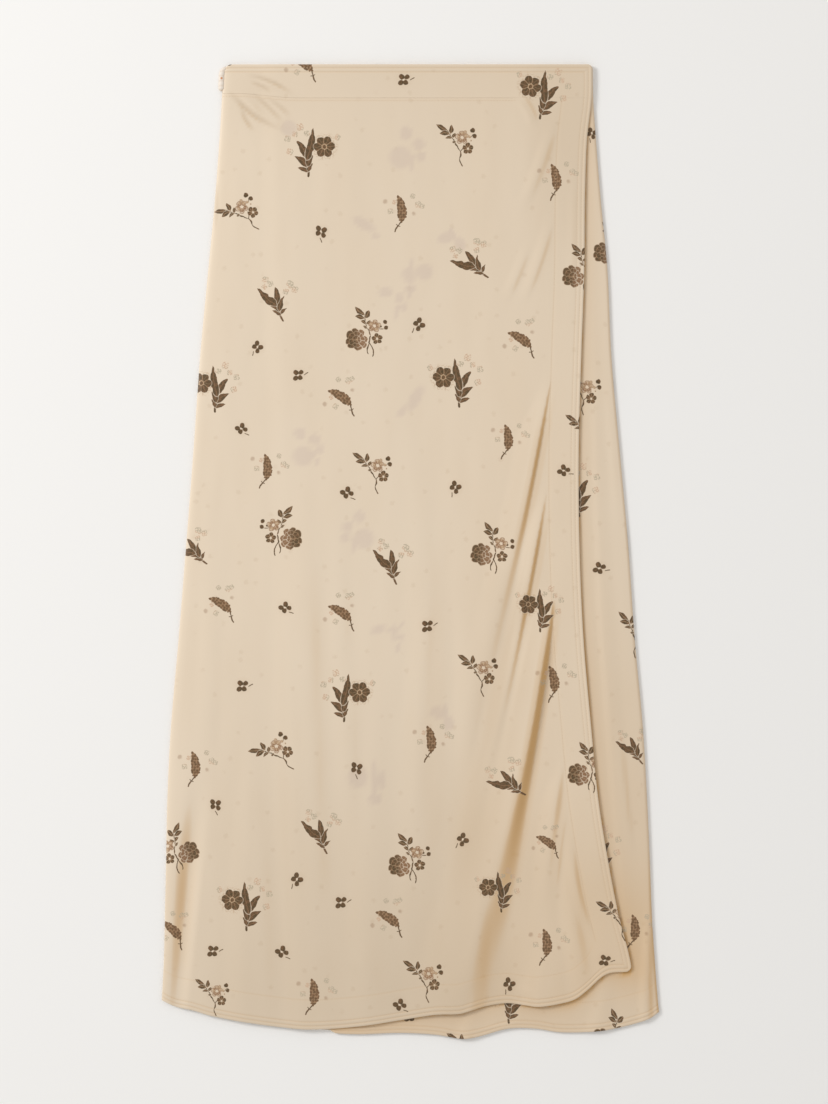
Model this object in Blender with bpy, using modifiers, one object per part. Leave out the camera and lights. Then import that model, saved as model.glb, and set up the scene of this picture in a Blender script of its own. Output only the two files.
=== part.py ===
"""A long printed wrap skirt, laid flat and face up on a surface.

The skirt lies in the XY plane: +X to the right, +Y towards the waist, +Z up. The cut pieces lie on
each other: the back panel and its waistband at the bottom, the under front with its waistband on
them, and the front panel that wraps over, with its waistband, on top. The front panel rounds down to
the back at the left hip and the under front rounds down to it at the right hip. The wrap's own free
edge runs down near the right side, and the largest folds hang from the line where that edge is faced.
"""

import math
from collections import namedtuple

import bmesh
import bpy

MM = 0.001

# Driving sizes, in millimetres. "Down" is measured from the waist's top edge, "across" from the middle.
BAND_DEEP = 33.0
WALL = 1.4
GAP = 0.3
LAYER = WALL + GAP
HIP_ROUND = 9.0
BACK_INSET = 0.6
BACK_HEM_INSET = 2.5
FACING_WIDE = 29.5
TURNED_WIDE = 5.5
TURNED_EASE = 1.5
TURNED_PROUD = 0.5
BAND_PROUD = 0.3
CORNER_CUT = 1.8

# The heights of the layers. The front's body stands a little higher than its band, and settles
# lower at the left, past the under front's hidden edge.
BACK_TOP = WALL
UNDER_TOP = LAYER + WALL
FRONT_TOP = 2 * LAYER + WALL
LOFT = 0.9
LOFT_LONG = 120.0
SETTLE = 0.9
SETTLE_WIDE = 22.0
SETTLE_STEPS = 2.0
CALM_HIP_ROUNDS = 3.0

# The outline, a row for each section down the skirt: the left side, the wrap's free edge and the
# right side, as distances across.
SECTION_COLUMNS = ("down", "left", "free_edge", "right")
SECTIONS = (
    (0, -184.4, 178.5, 179.2),
    (33, -185.8, 178.1, 179.8),
    (74, -188.4, 173.6, 182.5),
    (133, -192.8, 171.5, 187.2),
    (202, -199.4, 170.9, 193.8),
    (288, -207.5, 167.9, 197.7),
    (380, -214.0, 165.4, 205.8),
    (473, -221.2, 166.1, 214.2),
    (567, -228.8, 170.2, 220.8),
    (652, -236.2, 177.6, 228.6),
    (724, -239.8, 184.7, 232.9),
    (783, -241.0, 194.1, 235.5),
    (837, -242.2, 204.6, 237.5),
    (882, -243.2, 216.0, 240.4),
    (921, -245.2, 221.5, 243.4),
    (932, -245.6, 223.0, 244.4),
)

# The hems, a row for each turn: how far down each lies at that distance across.
HEM_COLUMNS = ("across", "down")
FRONT_HEM = (
    (-246, 921.5), (-231, 928.3), (-215, 931.5), (-197, 936.9), (-161, 943.6), (-108, 950.1),
    (-74, 949.3), (-42, 946.0), (-10, 941.0), (25, 935.4), (48, 934.6), (59, 931.6), (74, 927.3),
    (95, 924.3), (113, 926.4), (126, 927.7), (148, 924.6), (162, 920.4), (174, 911.5),
    (188, 898.7), (197, 894.4), (213, 893.4), (222, 891.6),
)
UNDER_HEM = (
    (-246, 921.5), (-231, 928.3), (-215, 931.5), (-197, 937.3), (-161, 944.1), (-108, 951.4),
    (-56, 955.3), (-10, 954.0), (25, 955.8), (51, 959.8), (68, 957.4), (95, 950.0), (121, 949.6),
    (148, 953.4), (183, 952.4), (209, 948.0), (235, 940.0), (246, 932.4),
)

# The free edge of the under front, which lies hidden below the wrap.
HIDDEN_EDGE_TOP = -109.0
HIDDEN_EDGE_LEAN = 25.0
SKIRT_LONG = 950.0

# Folds, a row each. Every fold runs down along a bend through three points, climbs slowly on its left
# and falls steeply on its right. The peak is the share of its length where it stands highest. It
# starts narrow, reaches its full widths there, and spreads to the foot's width at its lower end.
Fold = namedtuple(
    "Fold",
    "from_down from_across mid_down mid_across to_down to_across rise peak steep foot gentle",
)
FOLD_NARROW = 0.4
FRONT_FOLDS = (
    (500, 139, 685, 117.5, 1150, -6, 8.0, 0.36, 6.0, 26.0, 58),
    (296, 137, 435, 113.5, 690, 60, 3.6, 0.26, 4.4, 12.0, 28),
    (410, 135, 528, 115.0, 720, 72, 3.6, 0.20, 3.6, 14.0, 22),
    (640, 156, 745, 146.0, 980, 132, 2.6, 0.45, 5.0, 9.0, 22),
    (740, 158, 815, 163.0, 960, 186, 2.2, 0.50, 6.0, 9.0, 22),
    (800, 150, 870, 150.0, 1060, 150, 4.2, 0.60, 22.0, 22.0, 46),
    (330, -92, 620, -98.0, 1000, -82, 1.6, 0.55, 14.0, 14.0, 40),
    (420, 30, 620, 28.0, 1000, 2, 1.8, 0.45, 13.0, 13.0, 38),
    (560, -30, 760, -26.0, 1060, -30, 1.5, 0.60, 14.0, 14.0, 36),
    (600, -150, 800, -144.0, 1040, -152, 1.6, 0.60, 14.0, 14.0, 40),
    (760, -218, 860, -224.0, 1010, -238, 2.0, 0.70, 6.0, 6.0, 16),
)
UNDER_FOLDS = (
    (150, 181, 540, 196.0, 1000, 238, 1.5, 0.55, 9.0, 9.0, 13),
    (800, 238, 880, 237.0, 990, 236, 1.6, 0.60, 5.0, 5.0, 14),
    (885, 200, 930, 196.0, 1060, 190, 1.8, 0.50, 12.0, 12.0, 30),
    (905, 70, 940, 66.0, 1060, 60, 1.8, 0.50, 14.0, 14.0, 26),
)

# The gathered loop of the hip tie that shows at the left end of the waistband, a flattened roll.
LOOP_LONG = 24.0
LOOP_WIDE = 5.8
LOOP_THICK = 5.0
LOOP_DOWN = 14.0
LOOP_RIBS = 5
LOOP_RIB_DEEP = 0.16
LOOP_END_BLUNT = 3.0
LOOP_STEPS = 30
LOOP_SIDES = 20
SEAM_MERGE = 0.00001

CLOTH_COLOUR = (0.745, 0.610, 0.447, 1.0)
LOOP_COLOUR = (0.790, 0.665, 0.520, 1.0)
CLOTH_ROUGHNESS = 0.42

# How each piece's grid is divided, in steps across and down, and how its lines are found.
ROUND_STOPS = (0.0, 0.05, 0.19, 0.41, 0.69, 1.0)
FRONT_BODY_STOPS = (
    0.05, 0.10, 0.15, 0.20, 0.25, 0.30, 0.35, 0.40, 0.45, 0.50, 0.55, 0.59, 0.63, 0.67, 0.70, 0.73,
    0.76, 0.785, 0.81, 0.83, 0.85, 0.87, 0.885, 0.90, 0.915, 0.93, 0.945, 0.958, 0.97, 0.98, 0.99, 1.0,
)
FACING_STOPS = 11
FRONT_ROWS = 46
UNDER_STOPS = (
    0.0, 0.14, 0.28, 0.42, 0.50, 0.56, 0.61, 0.65, 0.69, 0.73, 0.77, 0.81, 0.84, 0.87, 0.90, 0.93,
    0.96, 0.98, 1.0,
)
UNDER_ROWS = 32
BACK_COLUMNS = 24
BACK_ROWS = 16
BAND_COLUMNS = 18
BAND_MIDDLE = 20.0
BAND_STOPS = (0.0, TURNED_WIDE, TURNED_WIDE + TURNED_EASE, BAND_MIDDLE, BAND_DEEP)
GUIDE_JOIN = 60.0
HEM_PASSES = 6


def smooth(share):
    """Ease from 0 to 1 as the share goes from 0 to 1."""
    share = min(max(share, 0.0), 1.0)
    return share * share * (3.0 - 2.0 * share)


def between(low, high, share):
    return low + (high - low) * share


def through(rows, column, at):
    """Read a table along a smooth curve: the first column is the place, `column` the value."""
    places = [row[0] for row in rows]
    values = [row[column] for row in rows]
    last = len(rows) - 1
    slopes = []
    for i in range(last + 1):
        before = max(i - 1, 0)
        after = min(i + 1, last)
        slopes.append((values[after] - values[before]) / (places[after] - places[before]))
    if at <= places[0]:
        return values[0] + slopes[0] * (at - places[0])
    if at >= places[last]:
        return values[last] + slopes[last] * (at - places[last])
    i = next(k for k in range(last) if at <= places[k + 1])
    step = places[i + 1] - places[i]
    t = (at - places[i]) / step
    return (
        (2 * t**3 - 3 * t**2 + 1) * values[i]
        + (t**3 - 2 * t**2 + t) * step * slopes[i]
        + (3 * t**2 - 2 * t**3) * values[i + 1]
        + (t**3 - t**2) * step * slopes[i + 1]
    )


def section(name, down):
    return through(SECTIONS, SECTION_COLUMNS.index(name), down)


def hidden_edge(down):
    return HIDDEN_EDGE_TOP + HIDDEN_EDGE_LEAN * down / SKIRT_LONG


def bend(fold, down):
    """Where a fold lies across at a depth: the parabola through its three points."""
    d0, a0, d1, a1, d2, a2 = fold[:6]
    first = a0 * (down - d1) * (down - d2) / ((d0 - d1) * (d0 - d2))
    second = a1 * (down - d0) * (down - d2) / ((d1 - d0) * (d1 - d2))
    third = a2 * (down - d0) * (down - d1) / ((d2 - d0) * (d2 - d1))
    return first + second + third


def fold_height(folds, across, down):
    """The height that the folds add at one place."""
    height = 0.0
    for row in folds:
        fold = Fold(*row)
        if not fold.from_down < down < fold.to_down:
            continue
        share = (down - fold.from_down) / (fold.to_down - fold.from_down)
        rising = smooth(share / fold.peak)
        sinking = smooth((share - fold.peak) / (1.0 - fold.peak))
        strength = rising if share < fold.peak else 1.0 - sinking
        opened = between(FOLD_NARROW, 1.0, rising)
        steep = between(fold.steep * opened, fold.foot, sinking)
        gentle = between(fold.gentle * opened, fold.gentle + fold.foot - fold.steep, sinking)
        lean = bend(fold, down + 1.0) - bend(fold, down)
        aside = (across - bend(fold, down)) * math.cos(math.atan(lean))
        if aside >= steep or aside <= -gentle:
            continue
        if aside > -steep:
            shape = 0.5 - 0.5 * math.sin(math.pi * aside / (2.0 * steep))
        else:
            shape = smooth((aside + gentle) / (gentle - steep))
        height += fold.rise * strength * shape
    return height


def hip_round(from_side, top):
    """The height of a layer near a hip, where it rounds down to the seam with the back."""
    if from_side >= HIP_ROUND:
        return top
    share = 1.0 - max(from_side, 0.0) / HIP_ROUND
    return between(UNDER_TOP, top, math.sqrt(max(0.0, 1.0 - share * share)))


def front_height(across, down):
    """The outer face of the wrap's front: on the under front, or lower on the back at the left."""
    covered = smooth((across - hidden_edge(down)) / SETTLE_WIDE + SETTLE_STEPS)
    level = between(FRONT_TOP - SETTLE, FRONT_TOP, covered)
    puff = LOFT * smooth((down - BAND_DEEP) / LOFT_LONG)
    from_left = across - section("left", down)
    inside = smooth(from_left / (CALM_HIP_ROUNDS * HIP_ROUND))
    folds = fold_height(FRONT_FOLDS, across, down) + fold_height(UNDER_FOLDS, across, down)
    return hip_round(from_left, level + (puff + folds) * inside)


def under_height(across, down):
    """The outer face of the under front, which lies flat below the wrap and wrinkles beyond it."""
    from_right = section("right", down) - across
    return hip_round(from_right, UNDER_TOP + fold_height(UNDER_FOLDS, across, down))


def back_height(across, down):
    """The upper face of the back, which lies flat."""
    return BACK_TOP


def front_guide(down):
    """The line that the front's columns follow: the facing's seam, then the main fold."""
    seam = section("free_edge", down) - FACING_WIDE
    fold = Fold(*FRONT_FOLDS[0])
    share = smooth((down - fold.from_down) / GUIDE_JOIN)
    return between(seam, bend(fold, down), share)


def front_across(stop, down):
    """The distance across of one of the front's column stops, at a depth."""
    region, share = stop
    left = section("left", down)
    free_edge = section("free_edge", down)
    guide = front_guide(down)
    if region == "hip":
        return left + share * HIP_ROUND
    if region == "body":
        return between(left + HIP_ROUND, guide, share)
    if region == "facing":
        return between(guide, free_edge - TURNED_WIDE - TURNED_EASE, share)
    return free_edge - share


def under_across(stop, down):
    region, share = stop
    right = section("right", down)
    if region == "hip":
        return right - share * HIP_ROUND
    return between(hidden_edge(down), right - HIP_ROUND, share)


def back_across(stop, down):
    left = section("left", down) + BACK_INSET
    right = section("right", down) - BACK_INSET
    return between(left, right, stop[1])


def turned(from_edge, proud):
    """How far a turned and stitched edge stands proud, at a distance from that edge."""
    if from_edge > TURNED_WIDE:
        return 0.0
    return proud if from_edge > 0.0 else proud / 2.0


def from_free_edge(stop):
    """How far a column lies from the wrap's free edge, or a distance past its turning."""
    return stop[1] if stop[0] == "edge" else BAND_DEEP


def hem_down(hem, across_at, stop, inset):
    """How far down a column ends, where it meets the hem's curve."""
    down = SKIRT_LONG
    for _ in range(HEM_PASSES):
        down = through(hem, HEM_COLUMNS.index("down"), across_at(stop, down)) - inset
    return down


def finish(obj, collection, colour):
    """Give the object its own material, shade it smooth and put it with the skirt."""
    material = bpy.data.materials.new(obj.name + "_cloth")
    material.use_nodes = True
    surface = material.node_tree.nodes["Principled BSDF"]
    surface.inputs["Base Color"].default_value = colour
    surface.inputs["Roughness"].default_value = CLOTH_ROUGHNESS
    surface.inputs["Metallic"].default_value = 0.0
    obj.data.materials.append(material)
    obj.data.shade_smooth()
    for owner in list(obj.users_collection):
        owner.objects.unlink(obj)
    collection.objects.link(obj)


def cloth(name, collection, columns, rows, place):
    """A wall of cloth: a grid laid by place(column, row) and extruded down, plain below.

    place gives the distance across, the distance down, the height of the plain cloth's upper face,
    and how far that face stands proud there.
    """
    bpy.ops.mesh.primitive_grid_add(x_subdivisions=columns, y_subdivisions=rows, size=2.0)
    obj = bpy.context.object
    obj.name = name
    obj.data.name = name
    proud = []
    for vertex in obj.data.vertices:
        column = round((vertex.co.x + 1.0) / 2.0 * columns)
        row = round((1.0 - vertex.co.y) / 2.0 * rows)
        across, down, height, raised = place(column, row)
        vertex.co = (across * MM, (MIDDLE_DOWN - down) * MM, height * MM)
        proud.append(raised)
    solid = bmesh.new()
    solid.from_mesh(obj.data)
    upper = list(solid.verts)
    made = bmesh.ops.extrude_face_region(solid, geom=solid.faces[:], use_keep_orig=True)
    lower = [item for item in made["geom"] if isinstance(item, bmesh.types.BMVert)]
    bmesh.ops.translate(solid, verts=lower, vec=(0.0, 0.0, -WALL * MM))
    for vertex, raised in zip(upper, proud):
        vertex.co.z += raised * MM
    bmesh.ops.recalc_face_normals(solid, faces=solid.faces[:])
    solid.to_mesh(obj.data)
    solid.free()
    finish(obj, collection, CLOTH_COLOUR)
    return obj


def panel(name, collection, stops, rows, across_at, height_at, hem, inset=0.0, proud=TURNED_PROUD):
    """A panel from the waistband's seam down to a hem, with its hem and any free edge turned."""
    ends = [hem_down(hem, across_at, stop, inset) for stop in stops]
    top = BAND_DEEP + GAP
    last = len(stops) - 1

    def place(column, row):
        from_hem = {rows: 0.0, rows - 1: TURNED_WIDE}.get(row, TURNED_WIDE + TURNED_EASE)
        share = min(row / (rows - 2), 1.0)
        down = between(top, ends[column] - from_hem, share)
        across = across_at(stops[column], down)
        raised = max(turned(from_hem, proud), turned(from_free_edge(stops[column]), proud))
        height = height_at(across, down)
        if row == rows and column == last:
            across -= CORNER_CUT
            down -= CORNER_CUT
        return across, down, height, raised

    return cloth(name, collection, last, rows, place)


def waistband(name, collection, stops, across_at, height_at, band_proud=0.0, proud=0.0):
    """A waistband layer above its panel, with its top edge turned and its right corner cut round."""
    last = len(stops) - 1

    def place(column, row):
        down = BAND_STOPS[row]
        across = across_at(stops[column], down)
        raised = max(turned(down, proud), turned(from_free_edge(stops[column]), proud))
        height = height_at(across, down)
        if row == 0 and column == last:
            across -= CORNER_CUT
            down += CORNER_CUT
        return across, down, height, band_proud + raised

    return cloth(name, collection, last, len(BAND_STOPS) - 1, place)


def loop_radius(share):
    """The gathered loop's radius along its length: rounded ends, and a dip between ribs."""
    round_end = math.sqrt(max(0.0, 1.0 - abs(2.0 * share - 1.0) ** LOOP_END_BLUNT))
    dip = 0.5 + 0.5 * math.cos(2.0 * math.pi * LOOP_RIBS * share)
    return LOOP_WIDE / 2.0 * round_end * (1.0 - LOOP_RIB_DEEP * dip)


def tie_loop(name, collection):
    """The tie's gathered end at the hip: a ribbed roll turned about an axis along the band's end."""
    mesh = bpy.data.meshes.new(name)
    points = []
    for i in range(LOOP_STEPS + 1):
        share = i / LOOP_STEPS
        along = LOOP_LONG * (0.5 - share)
        points.append((loop_radius(share) * MM, 0.0, along * MM))
    mesh.from_pydata(points, [(i, i + 1) for i in range(LOOP_STEPS)], [])
    obj = bpy.data.objects.new(name, mesh)
    bpy.context.scene.collection.objects.link(obj)
    turn = obj.modifiers.new("turn", "SCREW")
    turn.steps = LOOP_SIDES
    turn.render_steps = LOOP_SIDES
    turn.use_merge_vertices = True
    turn.merge_threshold = SEAM_MERGE
    lean = math.atan2(section("left", BAND_DEEP) - section("left", 0.0), BAND_DEEP)
    obj.rotation_euler = (-math.pi / 2.0, 0.0, lean)
    obj.scale = (1.0, LOOP_THICK / LOOP_WIDE, 1.0)
    obj.location = (
        (section("left", LOOP_DOWN) - GAP - LOOP_WIDE / 2.0) * MM,
        (MIDDLE_DOWN - LOOP_DOWN) * MM,
        (LOOP_THICK / 2.0 + GAP) * MM,
    )
    finish(obj, collection, LOOP_COLOUR)
    return obj


def region(name, shares):
    return [(name, share) for share in shares]


def even(count):
    """Shares from 0 to 1 in equal steps."""
    return [i / count for i in range(count + 1)]


for leftover in list(bpy.data.objects):
    bpy.data.objects.remove(leftover, do_unlink=True)

MIDDLE_DOWN = max(row[1] for row in UNDER_HEM) / 2.0
skirt = bpy.data.collections.new("wrap_skirt")
bpy.context.scene.collection.children.link(skirt)

turned_edge = region("edge", (TURNED_WIDE, 0.0))
left_hip = region("hip", ROUND_STOPS)
right_hip = region("hip", reversed(ROUND_STOPS[:-1]))
facing = region("facing", even(FACING_STOPS)[1:])
front_stops = left_hip + region("body", FRONT_BODY_STOPS) + facing + turned_edge
front_band_stops = left_hip + region("body", even(BAND_COLUMNS)[1:]) + facing[-1:] + turned_edge
under_stops = region("body", UNDER_STOPS) + right_hip
under_band_stops = region("body", even(BAND_COLUMNS)) + right_hip
back_stops = region("body", even(BACK_COLUMNS))

panel(
    "back_panel", skirt, back_stops, BACK_ROWS, back_across, back_height, UNDER_HEM,
    inset=BACK_HEM_INSET, proud=0.0,
)
panel("under_front_panel", skirt, under_stops, UNDER_ROWS, under_across, under_height, UNDER_HEM)
panel("front_panel", skirt, front_stops, FRONT_ROWS, front_across, front_height, FRONT_HEM)
waistband("waistband_back", skirt, back_stops, back_across, back_height)
waistband("waistband_under", skirt, under_band_stops, under_across, under_height)
waistband(
    "waistband_front", skirt, front_band_stops, front_across, front_height,
    band_proud=BAND_PROUD, proud=TURNED_PROUD,
)
tie_loop("side_tie_loop", skirt)
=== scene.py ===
"""A long printed wrap skirt, laid flat and face up on a pale floor.

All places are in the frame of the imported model, in metres. The tables below are in millimetres:
"down" is measured from the waist's top edge and "across" from the skirt's middle.
"""

import math
from collections import namedtuple

import bpy
import numpy as np
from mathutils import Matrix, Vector, noise


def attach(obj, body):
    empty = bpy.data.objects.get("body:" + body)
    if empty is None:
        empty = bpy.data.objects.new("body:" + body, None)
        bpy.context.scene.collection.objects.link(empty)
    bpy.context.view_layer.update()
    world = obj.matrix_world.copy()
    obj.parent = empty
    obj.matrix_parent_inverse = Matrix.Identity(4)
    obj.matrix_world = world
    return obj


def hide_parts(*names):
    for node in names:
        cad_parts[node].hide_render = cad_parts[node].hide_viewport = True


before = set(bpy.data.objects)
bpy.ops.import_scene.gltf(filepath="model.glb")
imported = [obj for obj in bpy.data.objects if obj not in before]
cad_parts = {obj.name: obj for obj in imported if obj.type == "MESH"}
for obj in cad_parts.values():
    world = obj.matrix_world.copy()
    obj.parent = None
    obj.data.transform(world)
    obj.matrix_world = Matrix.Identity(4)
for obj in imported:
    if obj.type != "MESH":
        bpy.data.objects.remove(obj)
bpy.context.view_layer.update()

MM = 0.001


# The cloth: a light satin in warm sand, printed all over with small scattered sprigs in brown inks.
# It is woven with its shiny side out, then printed: a posy, a rose spray, a berry sprig, a leaf
# spray, a seed head and a four-petal floweret, with ghosts of small blossoms in thin ink round them.
SAND = (0.780, 0.648, 0.496, 1.0)
SAND_DEEP = (0.756, 0.610, 0.449, 1.0)
# Painted warm shade: the orange-tan mixed in on folds' steep sides, in stitched grooves and as painted
# shadow beside the wrap's edges.
WARM_SHADE_COLOUR = (0.600, 0.325, 0.085, 1.0)
SEEN_THROUGH = (0.630, 0.505, 0.425, 1.0)
# Painted plain shade: the darker tan mixed in at the waist, the hem, round the main fold and in the creases
# that the tie pulls.
SHADE_SAND = (0.360, 0.240, 0.120, 1.0)
FLECK = (0.610, 0.470, 0.330, 1.0)
GHOST_INK = (0.490, 0.410, 0.290, 1.0)
GHOST_TAN = (0.620, 0.420, 0.280, 1.0)
OLIVE_INK = (0.088, 0.054, 0.019, 1.0)
UMBER_INK = (0.150, 0.077, 0.030, 1.0)
ROSE_INK = (0.310, 0.168, 0.085, 1.0)
TAN_INK = (0.480, 0.315, 0.180, 1.0)
SCALE_LINE_INK = (0.3865, 0.23415, 0.12775, 1.0)
SATIN_ROUGHNESS = 0.46
SATIN_SPECULAR = 0.35
SATIN_SHEEN = 0.12
SATIN_SHEEN_ROUGHNESS = 0.45
THREADS_SCALE = 900.0
THREADS_DEEP = 0.0002
WEAVE_STRETCH = (2.2, 0.7, 1.0)
WEAVE_RELIEF = 0.20
EVEN = (1.0, 1.0, 1.0)
MM_PER_METRE = 1000.0

# Patches of grain that ease from 0 at `low` to 1 at `high`. The ground's scales are for each metre
# and the print's for each millimetre.
Patches = namedtuple("Patches", "scale low high detail stretch", defaults=(1.0, EVEN))
CLOUDS = Patches(22.0, 0.35, 0.75, 3.0, (1.0, 0.45, 1.0))
CLOUDS_STRENGTH = 0.30
FLECKS_SCALE = 39.0
FLECKS_EASE = (0.210, 0.120, 0.0, 0.26)
FLECKS_RAGGED = 0.16
RAGGED_SCALE = 620.0
SPARSE_PATCHES = Patches(60.0, 0.44, 0.60)
SHOWS_THROUGH = 0.42
UMBER_PATCHES = Patches(0.30, 0.40, 0.64)
ROSE_PATCHES = Patches(1.3, 0.52, 0.72)
ROSE_PATCHES_STRENGTH = 0.60
BROKEN_GHOST_PATCHES = Patches(0.75, 0.38, 0.52)
TAN_GHOST_PATCHES = Patches(0.10, 0.42, 0.58, 0.0)
BROKEN_HALO_PATCHES = Patches(0.55, 0.46, 0.60)

# The print's lines. An outline is how far it stands off, its bleed and its strength; the others are
# the widths at which a line starts and is full, and its strength from 0.
INK_BLEED = 0.35
FINE_BLEED = 0.30
LEAF_OUTLINE = (0.40, 0.20, 0.75)
FLOWER_OUTLINE = (0.55, 0.25)
ROSE_OUTLINE = (0.50, 0.25, 0.85)
LEAF_VEIN = (0.55, 0.10, 0.0, 0.55)
PETAL_VEIN = (0.40, 0.05, 0.0, 0.55)
PETAL_GAP = (0.55, 0.15)
ROSE_VEIN = (0.50, 0.05, 0.0, 0.25)
ROSE_GAP = (0.65, 0.15, 0.0, 0.75)
BLOSSOM_RIM = (0.70, 0.15)
GHOST_RIM = (0.95, 0.30)
HALO = (5.0, 0.8, 0.0, 0.50)
OUTLINE_JOG = 2.4
OUTLINE_JOG_SCALE = 0.20
LEAF_NARROWEST = 0.3
LEAF_WAVE_SCALE = 0.17
GHOST_PETAL = (0.62, 0.42)
GHOST_TURN = 40.0

Stroke = namedtuple("Stroke", "from_x from_y to_x to_y wide curl")


def plug(node, inputs):
    """Join each of a node's inputs, by number or name, to a wire, or set it to a value."""
    for key, value in dict(inputs).items():
        if isinstance(value, bpy.types.NodeSocket):
            node.id_data.links.new(value, node.inputs[key])
        else:
            node.inputs[key].default_value = value


def add(kind, inputs=(), output=0, tree=None, **settings):
    """Add a shader node beside the wires that feed it, and give back one of its outputs."""
    inputs = dict(inputs)
    wires = [value for value in inputs.values() if isinstance(value, bpy.types.NodeSocket)]
    node = (tree or wires[0].id_data).nodes.new("ShaderNode" + kind)
    for name, value in settings.items():
        setattr(node, name, value)
    plug(node, inputs)
    return node.outputs[output]


def reckon(operation, *values):
    return add("Math", enumerate(values), operation=operation)


def mixed(share, first, second):
    return add("Mix", {0: share, 6: first, 7: second}, 2, data_type="RGBA")


def eased(value, low, high, first=0.0, second=1.0):
    """Ease from `first` to `second` as the value goes from low to high."""
    return add("MapRange", enumerate((value, low, high, first, second)), interpolation_type="SMOOTHSTEP")


def speckle(place, scale, detail=1.0, stretch=EVEN):
    """A cloudy grain between 0 and 1."""
    spread = add("Mapping", {"Vector": place, "Scale": stretch})
    return add("TexNoise", {"Vector": spread, "Scale": scale, "Detail": detail}, "Fac")


def patchy(place, patches, strength=1.0):
    """Patches between 0 and their strength."""
    grain = speckle(place, patches.scale, patches.detail, patches.stretch)
    return eased(grain, patches.low, patches.high, 0.0, strength)


def jogged(place, scale, detail, reach):
    """The print's place pushed about by up to `reach` millimetres, so that no outline is even."""
    push = add("TexNoise", {"Vector": place, "Scale": scale, "Detail": detail}, "Color")
    return add("VectorMath", {0: push, 1: (reach, reach, 0.0), 2: place}, operation="MULTIPLY_ADD")


def set_on(place, x, y, turn, long, wide):
    """The print's place as seen from one petal or leaf: 1 at the ends of its length and width."""
    return add("Mapping", {
        "Location": (x, y, 0.0), "Rotation": (0.0, 0.0, turn), "Scale": (long, wide, 1.0), "Vector": place,
    }, vector_type="TEXTURE")


def split(place):
    return add("SeparateXYZ", {0: place}).node.outputs


def vector_length(vector):
    return add("VectorMath", {0: vector}, "Value", operation="LENGTH")


def oval(place, x, y, long, wide, turn=0.0):
    """The distance in millimetres from a petal's or berry's outline, less than 0 inside it."""
    return reckon("MULTIPLY_ADD", vector_length(set_on(place, x, y, turn, long, wide)), wide, -wide)


def leaf(place, stroke, taper, blunt=1.0):
    """The distances from a leaf's outline, less than 0 inside, and from the vein down its middle."""
    run_x, run_y = stroke.to_x - stroke.from_x, stroke.to_y - stroke.from_y
    half = math.hypot(run_x, run_y) / 2.0
    turn = math.atan2(run_y, run_x)
    bow = stroke.curl * stroke.wide
    x = (stroke.from_x + stroke.to_x) / 2.0 + bow * math.sin(turn)
    y = (stroke.from_y + stroke.to_y) / 2.0 - bow * math.cos(turn)
    along, aside, _ = split(set_on(place, x, y, turn, half, stroke.wide))
    squared = reckon("MULTIPLY", along, along)
    bent = reckon("ABSOLUTE", reckon("MULTIPLY_ADD", squared, -stroke.curl, aside))
    vein = reckon("MULTIPLY", bent, stroke.wide)
    if taper:
        narrowing = reckon("MAXIMUM", reckon("MULTIPLY_ADD", along, taper, 1.0), LEAF_NARROWEST)
        bent = reckon("MULTIPLY", bent, narrowing)
    if blunt != 1.0:
        squared = reckon("POWER", squared, blunt)
    return reckon("MULTIPLY_ADD", reckon("ADD", bent, squared), stroke.wide, -stroke.wide), vein


def whorl(place, x, y, count, reach, size, turn, notch=0.0):
    """The petals of an open flower: the distances from their outlines, the vein down each and the
    lines between them."""
    seen = set_on(place, x, y, math.radians(turn), 1.0, 1.0)
    seen_x, seen_y, _ = split(seen)
    turns = reckon("MULTIPLY", reckon("ARCTAN2", seen_y, seen_x), count / (2.0 * math.pi))
    aside_angle = reckon("MULTIPLY", reckon("PINGPONG", turns, 0.5), 2.0 * math.pi / count)
    radius = vector_length(seen)
    along = reckon("MULTIPLY_ADD", radius, reckon("COSINE", aside_angle), -reach)
    vein = reckon("MULTIPLY", radius, reckon("SINE", aside_angle))
    joined = add("CombineXYZ", {0: along, 1: reckon("SUBTRACT", vein, notch)})
    outline = reckon("SUBTRACT", vector_length(joined), size)
    to_line = reckon("SINE", reckon("SUBTRACT", math.pi / count, aside_angle))
    return outline, vein, reckon("MULTIPLY", radius, to_line)


def together(distances):
    """The outline of several shapes as one."""
    whole = distances[0]
    for distance in distances[1:]:
        whole = reckon("MINIMUM", whole, distance)
    return whole


def stamp(colour, distance, ink, bleed=INK_BLEED, strength=1.0):
    """Print a shape in one ink over the colour, by the distance from its outline."""
    return mixed(eased(distance, bleed, -bleed, 0.0, strength), colour, ink)


def stamp_outline(colour, distance, ink, by, bleed, strength):
    """Print a shape a little larger than it is, for the pale line that shows round it."""
    return stamp(colour, reckon("SUBTRACT", distance, by), ink, bleed, strength)


def stems(place, *rows):
    """The outline of thin stems as one."""
    return together([leaf(place, Stroke(*row), taper=0.0, blunt=5.0)[0] for row in rows])


def berries(place, *rows):
    """The outline of round berries as one, each at x, y with a radius."""
    return together([oval(place, x, y, radius, radius) for x, y, radius in rows])


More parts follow.
